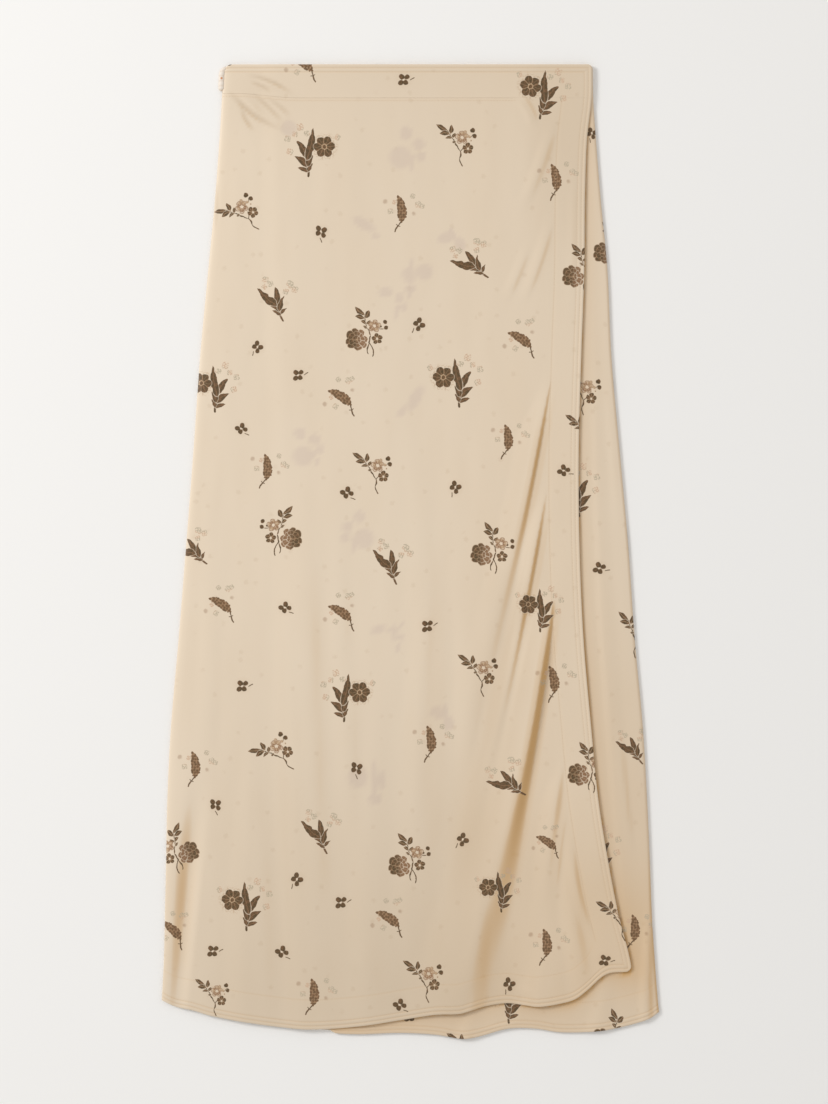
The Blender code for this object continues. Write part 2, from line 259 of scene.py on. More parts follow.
def satin_ground(place):
    """The plain satin's colour: its soft clouds, faint flecks and what shows through the cloth, darkened by
    painted plain shade and painted warm shade.
    """
    colour = mixed(patchy(place, CLOUDS, CLOUDS_STRENGTH), SAND, SAND_DEEP)
    spots = add("TexVoronoi", {"Vector": place, "Scale": FLECKS_SCALE}, "Distance", voronoi_dimensions="2D")
    near = reckon("MULTIPLY_ADD", speckle(place, RAGGED_SCALE), FLECKS_RAGGED, spots)
    fleck = reckon("MULTIPLY", eased(near, *FLECKS_EASE), patchy(place, SPARSE_PATCHES))
    colour = mixed(fleck, colour, FLECK)
    behind, lying, painted_fold_shade = (
        add("Attribute", output="Fac", tree=place.id_data, attribute_name=name)
        for name in ("seen_through", "lying_shade", "painted_warm_shade")
    )
    colour = mixed(reckon("MULTIPLY", behind, SHOWS_THROUGH), colour, SEEN_THROUGH)
    # Painted shade: the plain shade first, then the warm shade of folds, grooves and edges.
    return mixed(painted_fold_shade, mixed(lying, colour, SHADE_SAND), WARM_SHADE_COLOUR)


def make_material(name, colour_at, surface, threads=None, relief=0.0):
    """A material whose colour comes from the place on the object, with woven threads where it has any."""
    material = bpy.data.materials.new(name)
    material.use_nodes = True
    place = add("TexCoord", output="Object", tree=material.node_tree)
    shader = material.node_tree.nodes["Principled BSDF"]
    plug(shader, {"Base Color": colour_at(place), **surface})
    if threads:
        height = speckle(place, THREADS_SCALE, 2.0, threads)
        weave = add("Bump", {"Strength": relief, "Distance": THREADS_DEEP, "Height": height})
        plug(shader, {"Normal": weave})
    return material


def satin(name, paint=None):
    """A satin material: the ground with a printed motif painted on it, and a fine weave."""
    def colour_at(place):
        if not paint:
            return satin_ground(place)
        chart = add("UVMap", tree=place.id_data, uv_map="print_place")
        pushed = jogged(chart, OUTLINE_JOG_SCALE, 2.0, OUTLINE_JOG)
        settled = add(
            "VectorMath", {0: pushed, 1: (OUTLINE_JOG / 2.0, OUTLINE_JOG / 2.0, 0.0)}, operation="SUBTRACT"
        )
        return paint(settled, satin_ground(place))

    return make_material(name, colour_at, {
        "Roughness": SATIN_ROUGHNESS, "Specular IOR Level": SATIN_SPECULAR,
        "Sheen Weight": SATIN_SHEEN, "Sheen Roughness": SATIN_SHEEN_ROUGHNESS,
    }, WEAVE_STRETCH, WEAVE_RELIEF)


def dark_ink(place):
    """The darkest brown, which prints unevenly between olive and umber."""
    colour = mixed(patchy(place, UMBER_PATCHES), OLIVE_INK, UMBER_INK)
    return mixed(patchy(place, ROSE_PATCHES, ROSE_PATCHES_STRENGTH), colour, ROSE_INK)


def print_leaves(place, colour, rows, ink, vein_ink, taper, ragged=0.0):
    """Print leaves one over another, each with a thin pale outline and a pale vein."""
    wavy = speckle(place, LEAF_WAVE_SCALE, 0.0) if ragged else None
    for row in rows:
        stroke = Stroke(*row)
        outline, vein = leaf(place, stroke, taper)
        if ragged:
            deep = ragged * stroke.wide
            outline = reckon("ADD", outline, reckon("MULTIPLY_ADD", wavy, 2.0 * deep, -deep))
        colour = stamp_outline(colour, outline, SAND, *LEAF_OUTLINE)
        colour = stamp(colour, outline, mixed(eased(vein, *LEAF_VEIN), ink, vein_ink), FINE_BLEED)
    return colour


def print_flower(place, colour, petals, ink, line_ink, lines, rim=0.0):
    """Print an open flower, with pale veins, pale lines between its petals and a pale rim."""
    outline, vein, between_petals = whorl(place, *petals)
    if rim:
        colour = stamp_outline(colour, outline, SAND, *FLOWER_OUTLINE, rim)
    pale = reckon("MAXIMUM", eased(vein, *PETAL_VEIN), eased(between_petals, *PETAL_GAP))
    return stamp(colour, outline, mixed(reckon("MULTIPLY", pale, lines), ink, line_ink), FINE_BLEED)


def print_ghosts(place, colour, strength, *rows):
    """Print small blossoms in thin ink, broken into flecks: x, y and size."""
    reach, wide = GHOST_PETAL
    petals = [whorl(place, x, y, 4, size * reach, size * wide, GHOST_TURN * x)[0] for x, y, size in rows]
    shape = eased(reckon("ABSOLUTE", together(petals)), *GHOST_RIM, 0.0, strength)
    tinted = mixed(patchy(place, TAN_GHOST_PATCHES), GHOST_INK, GHOST_TAN)
    return mixed(reckon("MULTIPLY", shape, patchy(place, BROKEN_GHOST_PATCHES)), colour, tinted)


def print_blossom(place, colour, petals, rim_petals, rosy, rim_strength):
    """Print a tan blossom with a darker rim set a little off it, and give back its ink as well."""
    warm = mixed(patchy(place, rosy), TAN_INK, ROSE_INK)
    colour = print_flower(place, colour, petals, warm, SAND, lines=0.9)
    rim = reckon("ABSOLUTE", whorl(place, *rim_petals)[0])
    return mixed(eased(rim, *BLOSSOM_RIM, 0.0, rim_strength), colour, ROSE_INK), warm


POSY_HEART = (11.8, 2.8)


def paint_posy(place, colour):
    """A six-petal flower beside a tall spray of leaves."""
    colour = print_ghosts(
        place, colour, 0.95,
        (-12, 22, 3.2), (-24, 11, 3.0), (-22, -2, 3.0), (-5, 16, 2.4), (-17, 15, 2.4), (25, 12, 2.4),
    )
    ink = dark_ink(place)
    petals = (*POSY_HEART, 6, 6.5, 4.1, 2.0)
    halo = reckon("MULTIPLY", eased(whorl(place, *petals)[0], *HALO), patchy(place, BROKEN_HALO_PATCHES))
    colour = mixed(halo, colour, TAN_INK)
    colour = stamp(colour, stems(
        place, (-3.6, -27.5, -4.8, -15.0, 1.1, 0.4), (-4.8, -16.0, -5.6, -4.0, 0.9, 0.2)
    ), ink)
    colour = print_leaves(place, colour, (
        (-4.0, -22.2, -14.6, -18.4, 2.1, 0.60), (-4.2, -21.8, 0.4, -13.4, 2.2, -0.35),
        (-4.6, -17.4, -17.4, -6.6, 3.0, 0.50), (-5.0, -16.4, 1.0, -5.0, 2.6, -0.35),
        (-5.6, -8.4, -15.6, 9.0, 3.4, 0.50), (-5.8, -10.6, 0.8, 21.4, 3.7, 0.40),
    ), ink, ROSE_INK, taper=0.45, ragged=0.26)
    colour = print_flower(place, colour, petals, ink, TAN_INK, lines=0.62, rim=0.5)
    colour = stamp(colour, berries(place, (*POSY_HEART, 2.7)), TAN_INK, FINE_BLEED)
    return stamp(colour, berries(place, (*POSY_HEART, 1.8)), ink, FINE_BLEED)


ROSE_HEART = (-7.1, -5.8)
ROSE_JOG = 4.4
ROSE_JOG_SCALE = 0.13
ROSE_PALE_SIDE = (-13.0, -4.0, 0.0, 0.80)
ROSE_LINES = 0.62
ROSE_WHORLS = ((8, 8.2, 2.9, 8.0, 0.25), (6, 4.9, 2.9, 30.0, 0.5), (3, 1.9, 2.1, 10.0, 0.7))


def paint_rose(place, colour):
    """A full rose with a stem of leaves, a tan blossom, a dark blossom and two berries."""
    ink = dark_ink(place)
    colour = stamp(colour, stems(
        place, (-1.6, 17.4, 1.0, 3.5, 0.50, 1.2), (1.0, 3.6, 4.4, -4.2, 0.55, -0.6),
        (4.4, -4.0, 3.0, -12.5, 0.60, 0.6), (3.2, -12.0, 2.4, -22.8, 0.60, 2.4),
        (2.7, -11.0, 6.8, -25.2, 0.60, -3.2), (12.6, 3.0, 17.6, 2.6, 0.32, 1.0),
    ), ink, FINE_BLEED)
    colour = print_leaves(place, colour, (
        (-1.2, 16.4, -10.8, 24.4, 2.3, -0.40), (-0.6, 12.6, 2.8, 20.6, 2.3, 0.15),
        (-1.4, 12.4, -11.0, 15.4, 2.2, 0.30), (0.4, 7.2, 4.4, 11.0, 1.4, 0.2),
        (0.2, 7.4, -5.2, 10.6, 1.5, 0.2), (1.4, 2.8, -3.0, 5.2, 1.0, 0.0),
    ), ink, TAN_INK, taper=0.10)
    colour, _ = print_blossom(
        place, colour, (8.0, 5.3, 5, 3.5, 1.9, 80.0), (8.2, 5.3, 5, 4.0, 2.15, 80.0),
        Patches(0.22, 0.42, 0.56, 0.0), rim_strength=0.85,
    )
    colour = print_flower(place, colour, (10.9, -7.3, 5, 3.2, 2.2, 100.0), ink, TAN_INK, lines=0.8)
    colour = stamp(colour, berries(place, (18.9, 9.0, 2.1), (19.8, 3.5, 2.0), (14.8, 4.6, 0.8)), ink)
    pale_side = eased(split(place)[0], *ROSE_PALE_SIDE)
    petal_ink = mixed(pale_side, ink, ROSE_INK)
    pale_ink = mixed(pale_side, mixed(ROSE_LINES, ink, TAN_INK), SAND)
    ruffled = jogged(place, ROSE_JOG_SCALE, 0.0, ROSE_JOG)
    for petals in ROSE_WHORLS:
        outline, vein, gap = whorl(ruffled, *ROSE_HEART, *petals)
        colour = stamp_outline(colour, outline, pale_ink, *ROSE_OUTLINE)
        pale = reckon("MAXIMUM", eased(vein, *ROSE_VEIN), eased(gap, *ROSE_GAP))
        colour = stamp(colour, outline, mixed(pale, petal_ink, pale_ink), FINE_BLEED)
    return stamp(colour, berries(ruffled, (*ROSE_HEART, 0.9)), TAN_INK, FINE_BLEED)


def paint_berry(place, colour):
    """A sprig of oval leaves, pale blossoms, a dark blossom and two berries on a curved stem."""
    ink = dark_ink(place)
    colour = stamp(colour, stems(
        place, (-11.2, 9.6, -5.2, 0.4, 0.50, 0.8), (-5.4, 0.8, 1.7, -11.2, 0.58, 0.8),
        (1.6, -10.8, 1.2, -19.0, 0.62, -1.2), (1.1, -18.6, 3.8, -27.4, 0.60, 0.8),
        (5.6, -5.0, 1.8, -12.0, 0.45, -1.0), (10.0, 1.4, 14.6, 5.0, 0.30, 1.0),
    ), ink, FINE_BLEED)
    colour = print_leaves(place, colour, (
        (-10.4, 9.0, -21.8, 15.2, 2.3, -0.35), (-7.8, 5.4, -6.6, 14.6, 2.3, 0.10),
        (-8.6, 5.4, -18.8, 6.2, 2.2, 0.25), (-6.4, 1.8, -2.8, 6.2, 1.5, 0.15),
        (-6.0, 1.8, -12.8, 1.4, 1.5, 0.25), (-2.4, -2.4, -6.8, -2.6, 1.1, 0.0),
    ), ink, TAN_INK, taper=0.10)
    colour, warm = print_blossom(
        place, colour, (3.6, 2.0, 5, 3.6, 1.9, 22.0), (3.4, 1.8, 5, 4.2, 2.2, 22.0),
        Patches(0.22, 0.45, 0.58, 0.0), rim_strength=0.80,
    )
    small = berries(place, (6.6, 7.4, 1.7), (10.6, 2.6, 1.4), (12.2, -1.0, 0.9))
    colour = stamp(colour, small, warm, FINE_BLEED, strength=0.8)
    colour = print_flower(place, colour, (9.3, -9.0, 5, 3.3, 2.3, 92.0), ink, TAN_INK, lines=0.8)
    return stamp(colour, berries(place, (14.0, 8.6, 2.3), (15.9, 3.2, 2.1)), ink)


def paint_spray(place, colour):
    """A fan of curling leaves, with small ghost blossoms above it."""
    colour = print_ghosts(
        place, colour, 0.95, (-17, 18, 2.8), (-12, 14, 2.6), (7, 14, 3.0), (12, 8, 2.8),
        (3, 6, 2.4), (8, 12, 2.2), (-18, 11, 2.0),
    )
    ink = dark_ink(place)
    colour = stamp(colour, stems(
        place, (-7.8, -4.4, -3.4, -14.6, 1.5, 0.3), (-3.9, -13.0, 0.9, -23.4, 0.95, 0.6)
    ), ink)
    return print_leaves(place, colour, (
        (-1.4, -17.4, -10.4, -12.8, 1.7, 0.45), (-2.0, -15.4, 4.0, -10.4, 1.5, -0.45),
        (-2.6, -13.2, -12.0, -8.2, 2.0, 0.45), (-3.8, -12.8, 1.2, 1.6, 2.7, -0.35),
        (-5.8, -6.4, -7.6, 11.0, 2.9, 0.40), (-5.4, -8.0, -24.4, 9.2, 3.6, -0.35),
    ), ink, ROSE_INK, taper=0.40, ragged=0.36)


CONE_BODY = Stroke(1.0, -12.8, -3.2, 14.2, 4.5, 0.48)
SCALES = {"Scale": 0.36, "Randomness": 0.45}
SCALES_OUT = (1.9, -0.70)
SCALE_LINES = (0.34, 0.60, 0.0, 0.80)
CONE_FADE = 0.26


def paint_cone(place, colour):
    """A plump seed head of small scales on a short stalk, with blurred blobs on both sides."""
    colour = print_ghosts(
        place, colour, 0.85, (-10, -2, 2.4), (12, 13, 2.2), (17, 5, 2.6), (21, 3, 2.2), (-6, 7, 1.8)
    )
    colour = stamp(colour, berries(place, (-15, 8, 2.2), (13, -4, 1.8)), ROSE_INK, bleed=1.1, strength=0.42)
    ink = dark_ink(place)
    colour = stamp(colour, stems(
        place, (0.9, -11.4, -2.6, -16.6, 0.60, 0.3), (-2.2, -16.0, -6.2, -22.4, 0.75, 0.3),
        (-3.2, -15.4, 0.2, -17.0, 0.50, 0.4), (-2.6, -16.6, -4.6, -14.4, 0.45, 0.3),
    ), ink)
    scales = add("TexVoronoi", {"Vector": place, **SCALES}, "Distance", voronoi_dimensions="2D")
    body = leaf(place, CONE_BODY, taper=0.30, blunt=1.6)[0]
    body = reckon("ADD", body, reckon("MULTIPLY_ADD", scales, *SCALES_OUT))
    soft_ink = mixed(CONE_FADE, ink, ROSE_INK)
    return stamp(colour, body, mixed(eased(scales, *SCALE_LINES), soft_ink, SCALE_LINE_INK))


def paint_clover(place, colour):
    """A four-petal floweret with a scrap of stalk."""
    colour = stamp(colour, oval(place, 0.4, -0.8, 8.4, 7.8), TAN_INK, bleed=2.5, strength=0.08)
    ink = dark_ink(place)
    colour = stamp(colour, stems(place, (6.4, -1.6, 10.6, 1.0, 0.42, 0.8)), ink, FINE_BLEED)
    petals = together([oval(place, *petal) for petal in (
        (-1.7, 1.5, 2.8, 2.5, -0.8), (3.3, 1.4, 2.8, 2.3, 0.7),
        (-2.9, -3.9, 2.8, 2.3, 0.6), (1.9, -3.9, 2.7, 2.5, -0.8),
    )])
    colour = stamp(colour, petals, ink, FINE_BLEED)
    return stamp(colour, berries(place, (0.2, -1.4, 1.0)), SAND)


PAINTERS = {
    "posy": paint_posy, "rose": paint_rose, "berry": paint_berry,
    "spray": paint_spray, "cone": paint_cone, "clover": paint_clover,
}
REACH = {"posy": 32.0, "rose": 30.0, "berry": 30.0, "spray": 30.0, "cone": 27.0, "clover": 13.0}
plain_satin = satin("satin_plain")
printed_satin = {kind: satin("satin_" + kind, painter) for kind, painter in PAINTERS.items()}

# Where each motif is printed, a row each: across, down, turn in degrees, 1 or -1 where it is
# mirrored, and size. What a shorter row leaves out is 0, 1 and 1.
Place = namedtuple("Place", "across down turn mirror size", defaults=(0, 1, 1))
FRONT_PRINT = {
    "posy": (
        (129, 27, -12, -1), (-97, 84), (44, 311, 0, -1), (-195, 317, -3, -1, 0.95),
        (126, 535, -5, -1, 0.88), (-62, 621, 0, 1, 0.98), (86, 812, 0, -1, 0.84), (-164, 826, -3, -1),
    ),
    "rose": (
        (169, 201), (-44, 263), (-127, 459, 0, -1), (80, 476, -8), (175, 692, -4),
        (-230, 772, 20, -1, 0.97), (-2, 781),
    ),
    "berry": (
        (47, 74), (-168, 144, 37, 1, 0.98), (-36, 397, 0, 1, 0.98), (68, 596), (-134, 675, 37),
        (205, 837, 5), (14, 897), (-194, 914, -2, 1, 0.86), (174, 360),
    ),
    "spray": (
        (65, 190, 28), (-126, 230), (-210, 473, 25, 1, 0.92), (-13, 489, -4), (100, 700, 33),
        (-83, 754),
    ),
    "cone": (
        (-107, -1, 50), (142, 112, 3), (-10, 143), (108, 271, 50), (-69, 328, 50),
        (95, 368, -2, 1, 0.95), (-142, 397, -5, 1, 0.95), (-187, 532, 50, 1, 0.95),
        (-69, 540, 50, 1, 0.98), (140, 606, 3), (19, 665), (-213, 690, -2, 1, 0.97),
        (134, 766, 50, 1, 0.85), (-22, 841, 50), (-235, 853, 40, 1, 0.95), (133, 865, -2),
        (-96, 914, -5),
    ),
    "clover": (
        (-181, -5), (-7, 14), (-87, 165, -97), (9, 257, -140), (-150, 279, -130, 1, 0.92),
        (-111, 305, 5, 1, 0.95), (-166, 358, -51, 1, 0.93), (151, 399, -30, 1, 0.97),
        (45, 417, -120, 1, 0.97), (-62, 421, -50), (-123, 534, -45, 1, 0.95), (16, 552, 7), (-166, 611),
        (-52, 693, -97), (-191, 729, -90, 1, 0.97), (52, 764, -140), (-111, 803, -130), (-69, 824, 5),
        (-195, 872, 0, 1, 0.97), (-126, 873, -51), (191, 881, -10, 1, 0.95), (98, 906, -120),
        (-10, 925, -50),
    ),
}
UNDER_PRINT = {
    "posy": ((160, 419, 5, -1), (181, 776, 5, -1), (93, 919, 0, -1, 0.95)),
    "rose": ((199, 178, 0, 1, 0.96), (199.5, 956, -20)),
    "berry": ((170, 319, -8, 1, 0.98), (223, 558, -12), (57, 969)),
    "spray": ((224, 670, 12, 1, 0.85),),
    "cone": ((220, 851, -5, 1, 0.97),),
    "clover": ((179.5, 68, -110, 1, 0.88), (186, 495, -20), (-1, 936)),
}


def read(items, name, wide=1, kind=float):
    """Read one property of all the points, faces or corners of a mesh into an array."""
    values = np.empty(len(items) * wide, dtype=kind)
    items.foreach_get(name, values)
    return values.reshape(-1, wide) if wide > 1 else values


def seen_from(spot, right, up):
    """Places right of and above a motif's middle, as that motif's own x and y."""
    angle = math.radians(spot.turn)
    right, up = right / spot.size, up / spot.size
    x = (right * math.cos(angle) + up * math.sin(angle)) * spot.mirror
    return x, up * math.cos(angle) - right * math.sin(angle)


def print_on(obj, chart, flip=1.0):
    """Give each face of a cut piece the motif that is printed nearest to it, and its place in it."""
    mesh = obj.data
    for material in (plain_satin, *printed_satin.values()):
        mesh.materials.append(material)
    centres = read(mesh.polygons, "center", 3)[:, :2] * MM_PER_METRE
    points = read(mesh.vertices, "co", 3)[:, :2] * MM_PER_METRE
    corners = points[read(mesh.loops, "vertex_index", kind=np.int32)]
    face_of_corner = np.repeat(np.arange(len(centres)), read(mesh.polygons, "loop_total", kind=np.int32))
    nearest = np.zeros(len(centres))
    slots = np.zeros(len(centres), dtype=np.int32)
    print_place = np.zeros(corners.shape)
    for slot, kind in enumerate(printed_satin, start=1):
        for spot in (Place(*row) for row in chart.get(kind, ())):
            middle = np.array((spot.across * flip, MIDDLE_DOWN - spot.down))
            power = ((centres - middle) ** 2).sum(axis=1) - (REACH[kind] * spot.size) ** 2
            closer = power < nearest
            nearest[closer] = power[closer]
            slots[closer] = slot
            chosen = closer[face_of_corner]
            x, y = seen_from(spot, *(corners[chosen] - middle).T)
            print_place[chosen] = np.stack((x * flip, y), axis=1)
    mesh.polygons.foreach_set("material_index", slots)
    mesh.uv_layers.new(name="print_place").data.foreach_set("uv", print_place.ravel())


# The back panel: the widest cut of the satin, the bottom layer, which lies flat on the floor. It is
# cut with straight sides and a curved hem, and joined to both fronts at the hips.
SECTION_COLUMNS = ("down", "left", "free_edge", "right")
SECTIONS = (
    (0, -184.4, 178.5, 179.2), (33, -185.8, 178.1, 179.8), (74, -188.4, 173.6, 182.5),
    (133, -192.8, 171.5, 187.2), (202, -199.4, 170.9, 193.8), (288, -207.5, 167.9, 197.7),
    (380, -214.0, 165.4, 205.8), (473, -221.2, 166.1, 214.2), (567, -228.8, 170.2, 220.8),
    (652, -236.2, 177.6, 228.6), (724, -239.8, 184.7, 232.9), (783, -241.0, 194.1, 235.5),
    (837, -242.2, 204.6, 237.5), (882, -243.2, 216.0, 240.4), (921, -245.2, 221.5, 243.4),
    (932, -245.6, 223.0, 244.4),
)
UNDER_HEM = (
    (-246, 921.5), (-231, 928.3), (-215, 931.5), (-197, 937.3), (-161, 944.1), (-108, 951.4),
    (-56, 955.3), (-10, 954.0), (25, 955.8), (51, 959.8), (68, 957.4), (95, 950.0), (121, 949.6),
    (148, 953.4), (183, 952.4), (209, 948.0), (235, 940.0), (246, 932.4),
)
FRONT_HEM = (
    (-246, 921.5), (-231, 928.3), (-215, 931.5), (-197, 936.9), (-161, 943.6), (-108, 950.1),
    (-74, 949.3), (-42, 946.0), (-10, 941.0), (25, 935.4), (48, 934.6), (59, 931.6), (74, 927.3),
    (95, 924.3), (113, 926.4), (126, 927.7), (148, 924.6), (162, 920.4), (174, 911.5),
    (188, 898.7), (197, 894.4), (213, 893.4), (222, 891.6),
)
MIDDLE_DOWN = max(row[1] for row in UNDER_HEM) / 2.0
BAND_DEEP = 33.0
SEAM_GAP = 0.04
PANEL_TOP = BAND_DEEP + SEAM_GAP
SKIRT_LONG = 950.0
HEM_PASSES = 6
BACK_INSET = 0.6
BACK_HEM_INSET = 2.5
BACK_THICK = 1.1
BACK_COLUMNS = 60
BACK_ROWS = 120
SMOOTH_UP_TO = math.radians(50.0)


def smooth(share):
    """Ease from 0 to 1 as the share goes from 0 to 1."""
    share = np.clip(share, 0.0, 1.0)
    return share * share * (3.0 - 2.0 * share)


def ramp(value, start, run):
    """Ease from 0 at the start to 1 after the run; a run below 0 starts at 1 and fades."""
    return smooth((value - start) / run)


def bell(away, wide):
    """1 in the middle, easing to 0 on both sides."""
    return np.exp(-((away / wide) ** 2))


def between(low, high, share):
    return low + (high - low) * share


def through(rows, column, at):
    """Read a table along a smooth curve: the first column is the place, `column` the value."""
    table = np.array(rows, dtype=float)
    places, values = table[:, 0], table[:, column]
    ahead = np.append(values[1:], values[-1]) - np.insert(values[:-1], 0, values[0])
    run = np.append(places[1:], places[-1]) - np.insert(places[:-1], 0, places[0])
    slopes = ahead / run
    at = np.asarray(at, dtype=float)
    i = np.clip(np.searchsorted(places, at) - 1, 0, len(places) - 2)
    step = places[i + 1] - places[i]
    t = (at - places[i]) / step
    inside = (
        (2 * t**3 - 3 * t**2 + 1) * values[i] + (t**3 - 2 * t**2 + t) * step * slopes[i]
        + (3 * t**2 - 2 * t**3) * values[i + 1] + (t**3 - t**2) * step * slopes[i + 1]
    )
    before = values[0] + slopes[0] * (at - places[0])
    after = values[-1] + slopes[-1] * (at - places[-1])
    return np.where(at <= places[0], before, np.where(at >= places[-1], after, inside))


def section(name, down):
    return through(SECTIONS, SECTION_COLUMNS.index(name), down)


def hem_down(hem, across_at, inset=0.0):
    """How far down each column ends, where it meets the hem's curve."""
    down = SKIRT_LONG
    for _ in range(HEM_PASSES):
        down = through(hem, 1, across_at(down)) - inset
    return down


# The rough shape of each motif where it shows faintly through the cloth that lies over it: ovals at
# x, y with two radii.
SHAPES_BEHIND = {
    "posy": ((12, 3, 10, 10), (-4, 2, 4, 17), (-11, 0, 4, 9), (-5, -18, 7, 5)),
    "rose": ((-10, -8, 11, 11), (-5, 16, 6, 7), (8, 5, 6, 6), (10, -7, 5, 5), (2, -14, 2, 9)),
    "berry": ((-12, 9, 9, 6), (5, 2, 6, 6), (10, -9, 5, 5), (16, 6, 3, 4), (2, -16, 2, 10)),
    "spray": ((-15, 2, 9, 6), (-7, 3, 3, 8), (-3, -10, 6, 8)),
    "cone": ((0, 1, 5.5, 14), (-5, -17, 3, 5)),
    "clover": ((0, 0, 6, 6),),
}
BEHIND_FADES = (1.25, -0.5)


def seen_through(across, down, chart):
    """How strongly the print of the layer below shows through at each place, from 0 to 1."""
    shade = np.zeros(across.shape)
    for kind, rows in dict(chart).items():
        for spot in (Place(*row) for row in rows):
            x, y = seen_from(spot, across - spot.across, spot.down - down)
            for shape_x, shape_y, long, wide in SHAPES_BEHIND[kind]:
                near = np.hypot((x - shape_x) / long, (y - shape_y) / wide)
                shade = np.maximum(shade, ramp(near, *BEHIND_FADES))
    return shade


def start_mesh(name, primitive, **sizes):
    """Add one of Blender's primitives with everything else deselected."""
    bpy.ops.object.select_all(action="DESELECT")
    primitive(**sizes)
    obj = bpy.context.object
    obj.name = obj.data.name = name
    return obj


def mark(obj, name, values):
    obj.data.attributes.new(name, "FLOAT", "POINT").data.foreach_set("value", values)


def lay_cloth(name, columns, rows, place, behind=()):
    """A sheet of cloth: a grid laid by place(column, row), over a layer with the print `behind`."""
    obj = start_mesh(
        name, bpy.ops.mesh.primitive_grid_add,
        x_subdivisions=columns, y_subdivisions=rows, size=2.0, calc_uvs=False,
    )
    points = read(obj.data.vertices, "co", 3)
    column = np.rint((points[:, 0] + 1.0) / 2.0 * columns).astype(int)
    row = np.rint((1.0 - points[:, 1]) / 2.0 * rows).astype(int)
    across, down, height, warm_shade_share, lying = place(column, row)
    points = np.stack((across, MIDDLE_DOWN - down, height), axis=1) * MM
    obj.data.vertices.foreach_set("co", points.ravel())
    # The painted warm shade and the painted plain shade at each point, which the satin's colour mixes in.
    mark(obj, "painted_warm_shade", warm_shade_share)
    mark(obj, "lying_shade", lying)
    mark(obj, "seen_through", seen_through(across, down, behind))
    obj.data.update()
    return obj


def thicken(obj, thick):
    """Give a laid sheet its thickness, below the face that shows, and shade it smooth."""
    wall = obj.modifiers.new("wall", "SOLIDIFY")
    wall.thickness = thick * MM
    wall.offset = -1.0
    bpy.ops.object.select_all(action="DESELECT")
    obj.select_set(True)
    bpy.context.view_layer.objects.active = obj
    bpy.ops.object.modifier_apply(modifier=wall.name)
    bpy.ops.object.shade_smooth_by_angle(angle=SMOOTH_UP_TO)


def back_across(share, down):
    left = section("left", down) + BACK_INSET
    return between(left, section("right", down) - BACK_INSET, share)


back_shares = np.linspace(0.0, 1.0, BACK_COLUMNS + 1)
back_ends = hem_down(UNDER_HEM, lambda down: back_across(back_shares, down), BACK_HEM_INSET)


def place_back(column, row):
    down = between(PANEL_TOP, back_ends[column], row / BACK_ROWS)
    across = back_across(back_shares[column], down)
    plain = np.zeros(down.shape)
    return across, down, np.full(down.shape, BACK_THICK), plain, plain


back = lay_cloth("back_cloth", BACK_COLUMNS, BACK_ROWS, place_back)
print_on(back, FRONT_PRINT, flip=-1.0)
thicken(back, BACK_THICK)
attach(back, "root")
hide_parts("back_panel")


# The under front: the satin panel that lies below the wrap, joined to the back at the right hip. Its
# free edge is hidden; its hem is turned, faced and stitched twice, as the wrap's edges are.
HIDDEN_EDGE_TOP = -109.0
HIDDEN_EDGE_LEAN = 25.0
HIDDEN_CORNER_ROUND = 12.0
HIP_ROUND = 9.0
RIGHT_HIP_ROUND = 2.6
CORNER_ROUND = 6.0
UNDER_TOP = 3.1
HIP_LOW = 2.0
CLOTH_THICK = 0.8
Fold = namedtuple(
    "Fold", "from_down from_across mid_down mid_across to_down to_across rise peak steep foot gentle"
)
UNDER_FOLDS = (
    (150, 181, 540, 196.0, 1000, 238, 1.0, 0.55, 9.0, 9.0, 13),
    (800, 238, 880, 237.0, 990, 236, 1.6, 0.60, 5.0, 5.0, 14),
    (885, 200, 930, 196.0, 1060, 190, 1.8, 0.50, 12.0, 12.0, 30),
    (905, 70, 940, 66.0, 1060, 60, 1.8, 0.50, 14.0, 14.0, 26),
)
NARROW_START = 0.4
Crease = namedtuple("Crease", "from_across from_down to_across to_down bow rise left_wide right_wide")
UNDER_CREASES = (
    (234, 838, 237, 905, 1, 0.9, 7, 2.5), (205, 640, 222, 800, -3, 0.5, 9, 6),
    (196, 300, 206, 470, 0, 0.4, 8, 5), (60, 948, 110, 944, -2, 0.6, 5, 3),
)
CREASE_END = 0.4
Waves = namedtuple("Waves", "across down lift")
SLOW_WAVES = Waves(55.0, 150.0, 0.55)
QUICK_WAVES = Waves(17.0, 52.0, 0.22)
QUICK_SEED_STEP = 7.0
UNDER_SEED = 3.0
UNDER_UNEVEN = 0.5

# How far the turned edge and its facing stand proud, by the distance from the edge. The grooves lie
# at the rows of stitching.
EDGE_PROFILE = (
    (0.0, -0.30), (0.6, 0.14), (1.3, 0.30), (2.3, 0.26), (3.0, 0.06), (3.5, -0.14), (4.0, 0.06),
    (4.8, 0.26), (6.2, 0.26), (7.0, 0.04), (7.5, -0.16), (8.0, 0.0), (8.8, 0.10), (10.5, 0.04),
)
FACING_ROW = 29.3
FACING_SUNK = -0.12
FACING_PROFILE = (
    (26.0, 0.0), (28.4, 0.02), (FACING_ROW, FACING_SUNK), (30.2, 0.03), (31.0, -0.05), (32.2, 0.0),
)
FACING_TURN = 44.0
EDGE_STOPS = tuple(stop for stop, _ in EDGE_PROFILE)
NEAR_EDGE = (*EDGE_STOPS, 13.5, 16.5, 19.5, 22.5, 25.5, *(stop for stop, _ in FACING_PROFILE[1:]))
EDGE_ROWS = (3.5, 7.5)
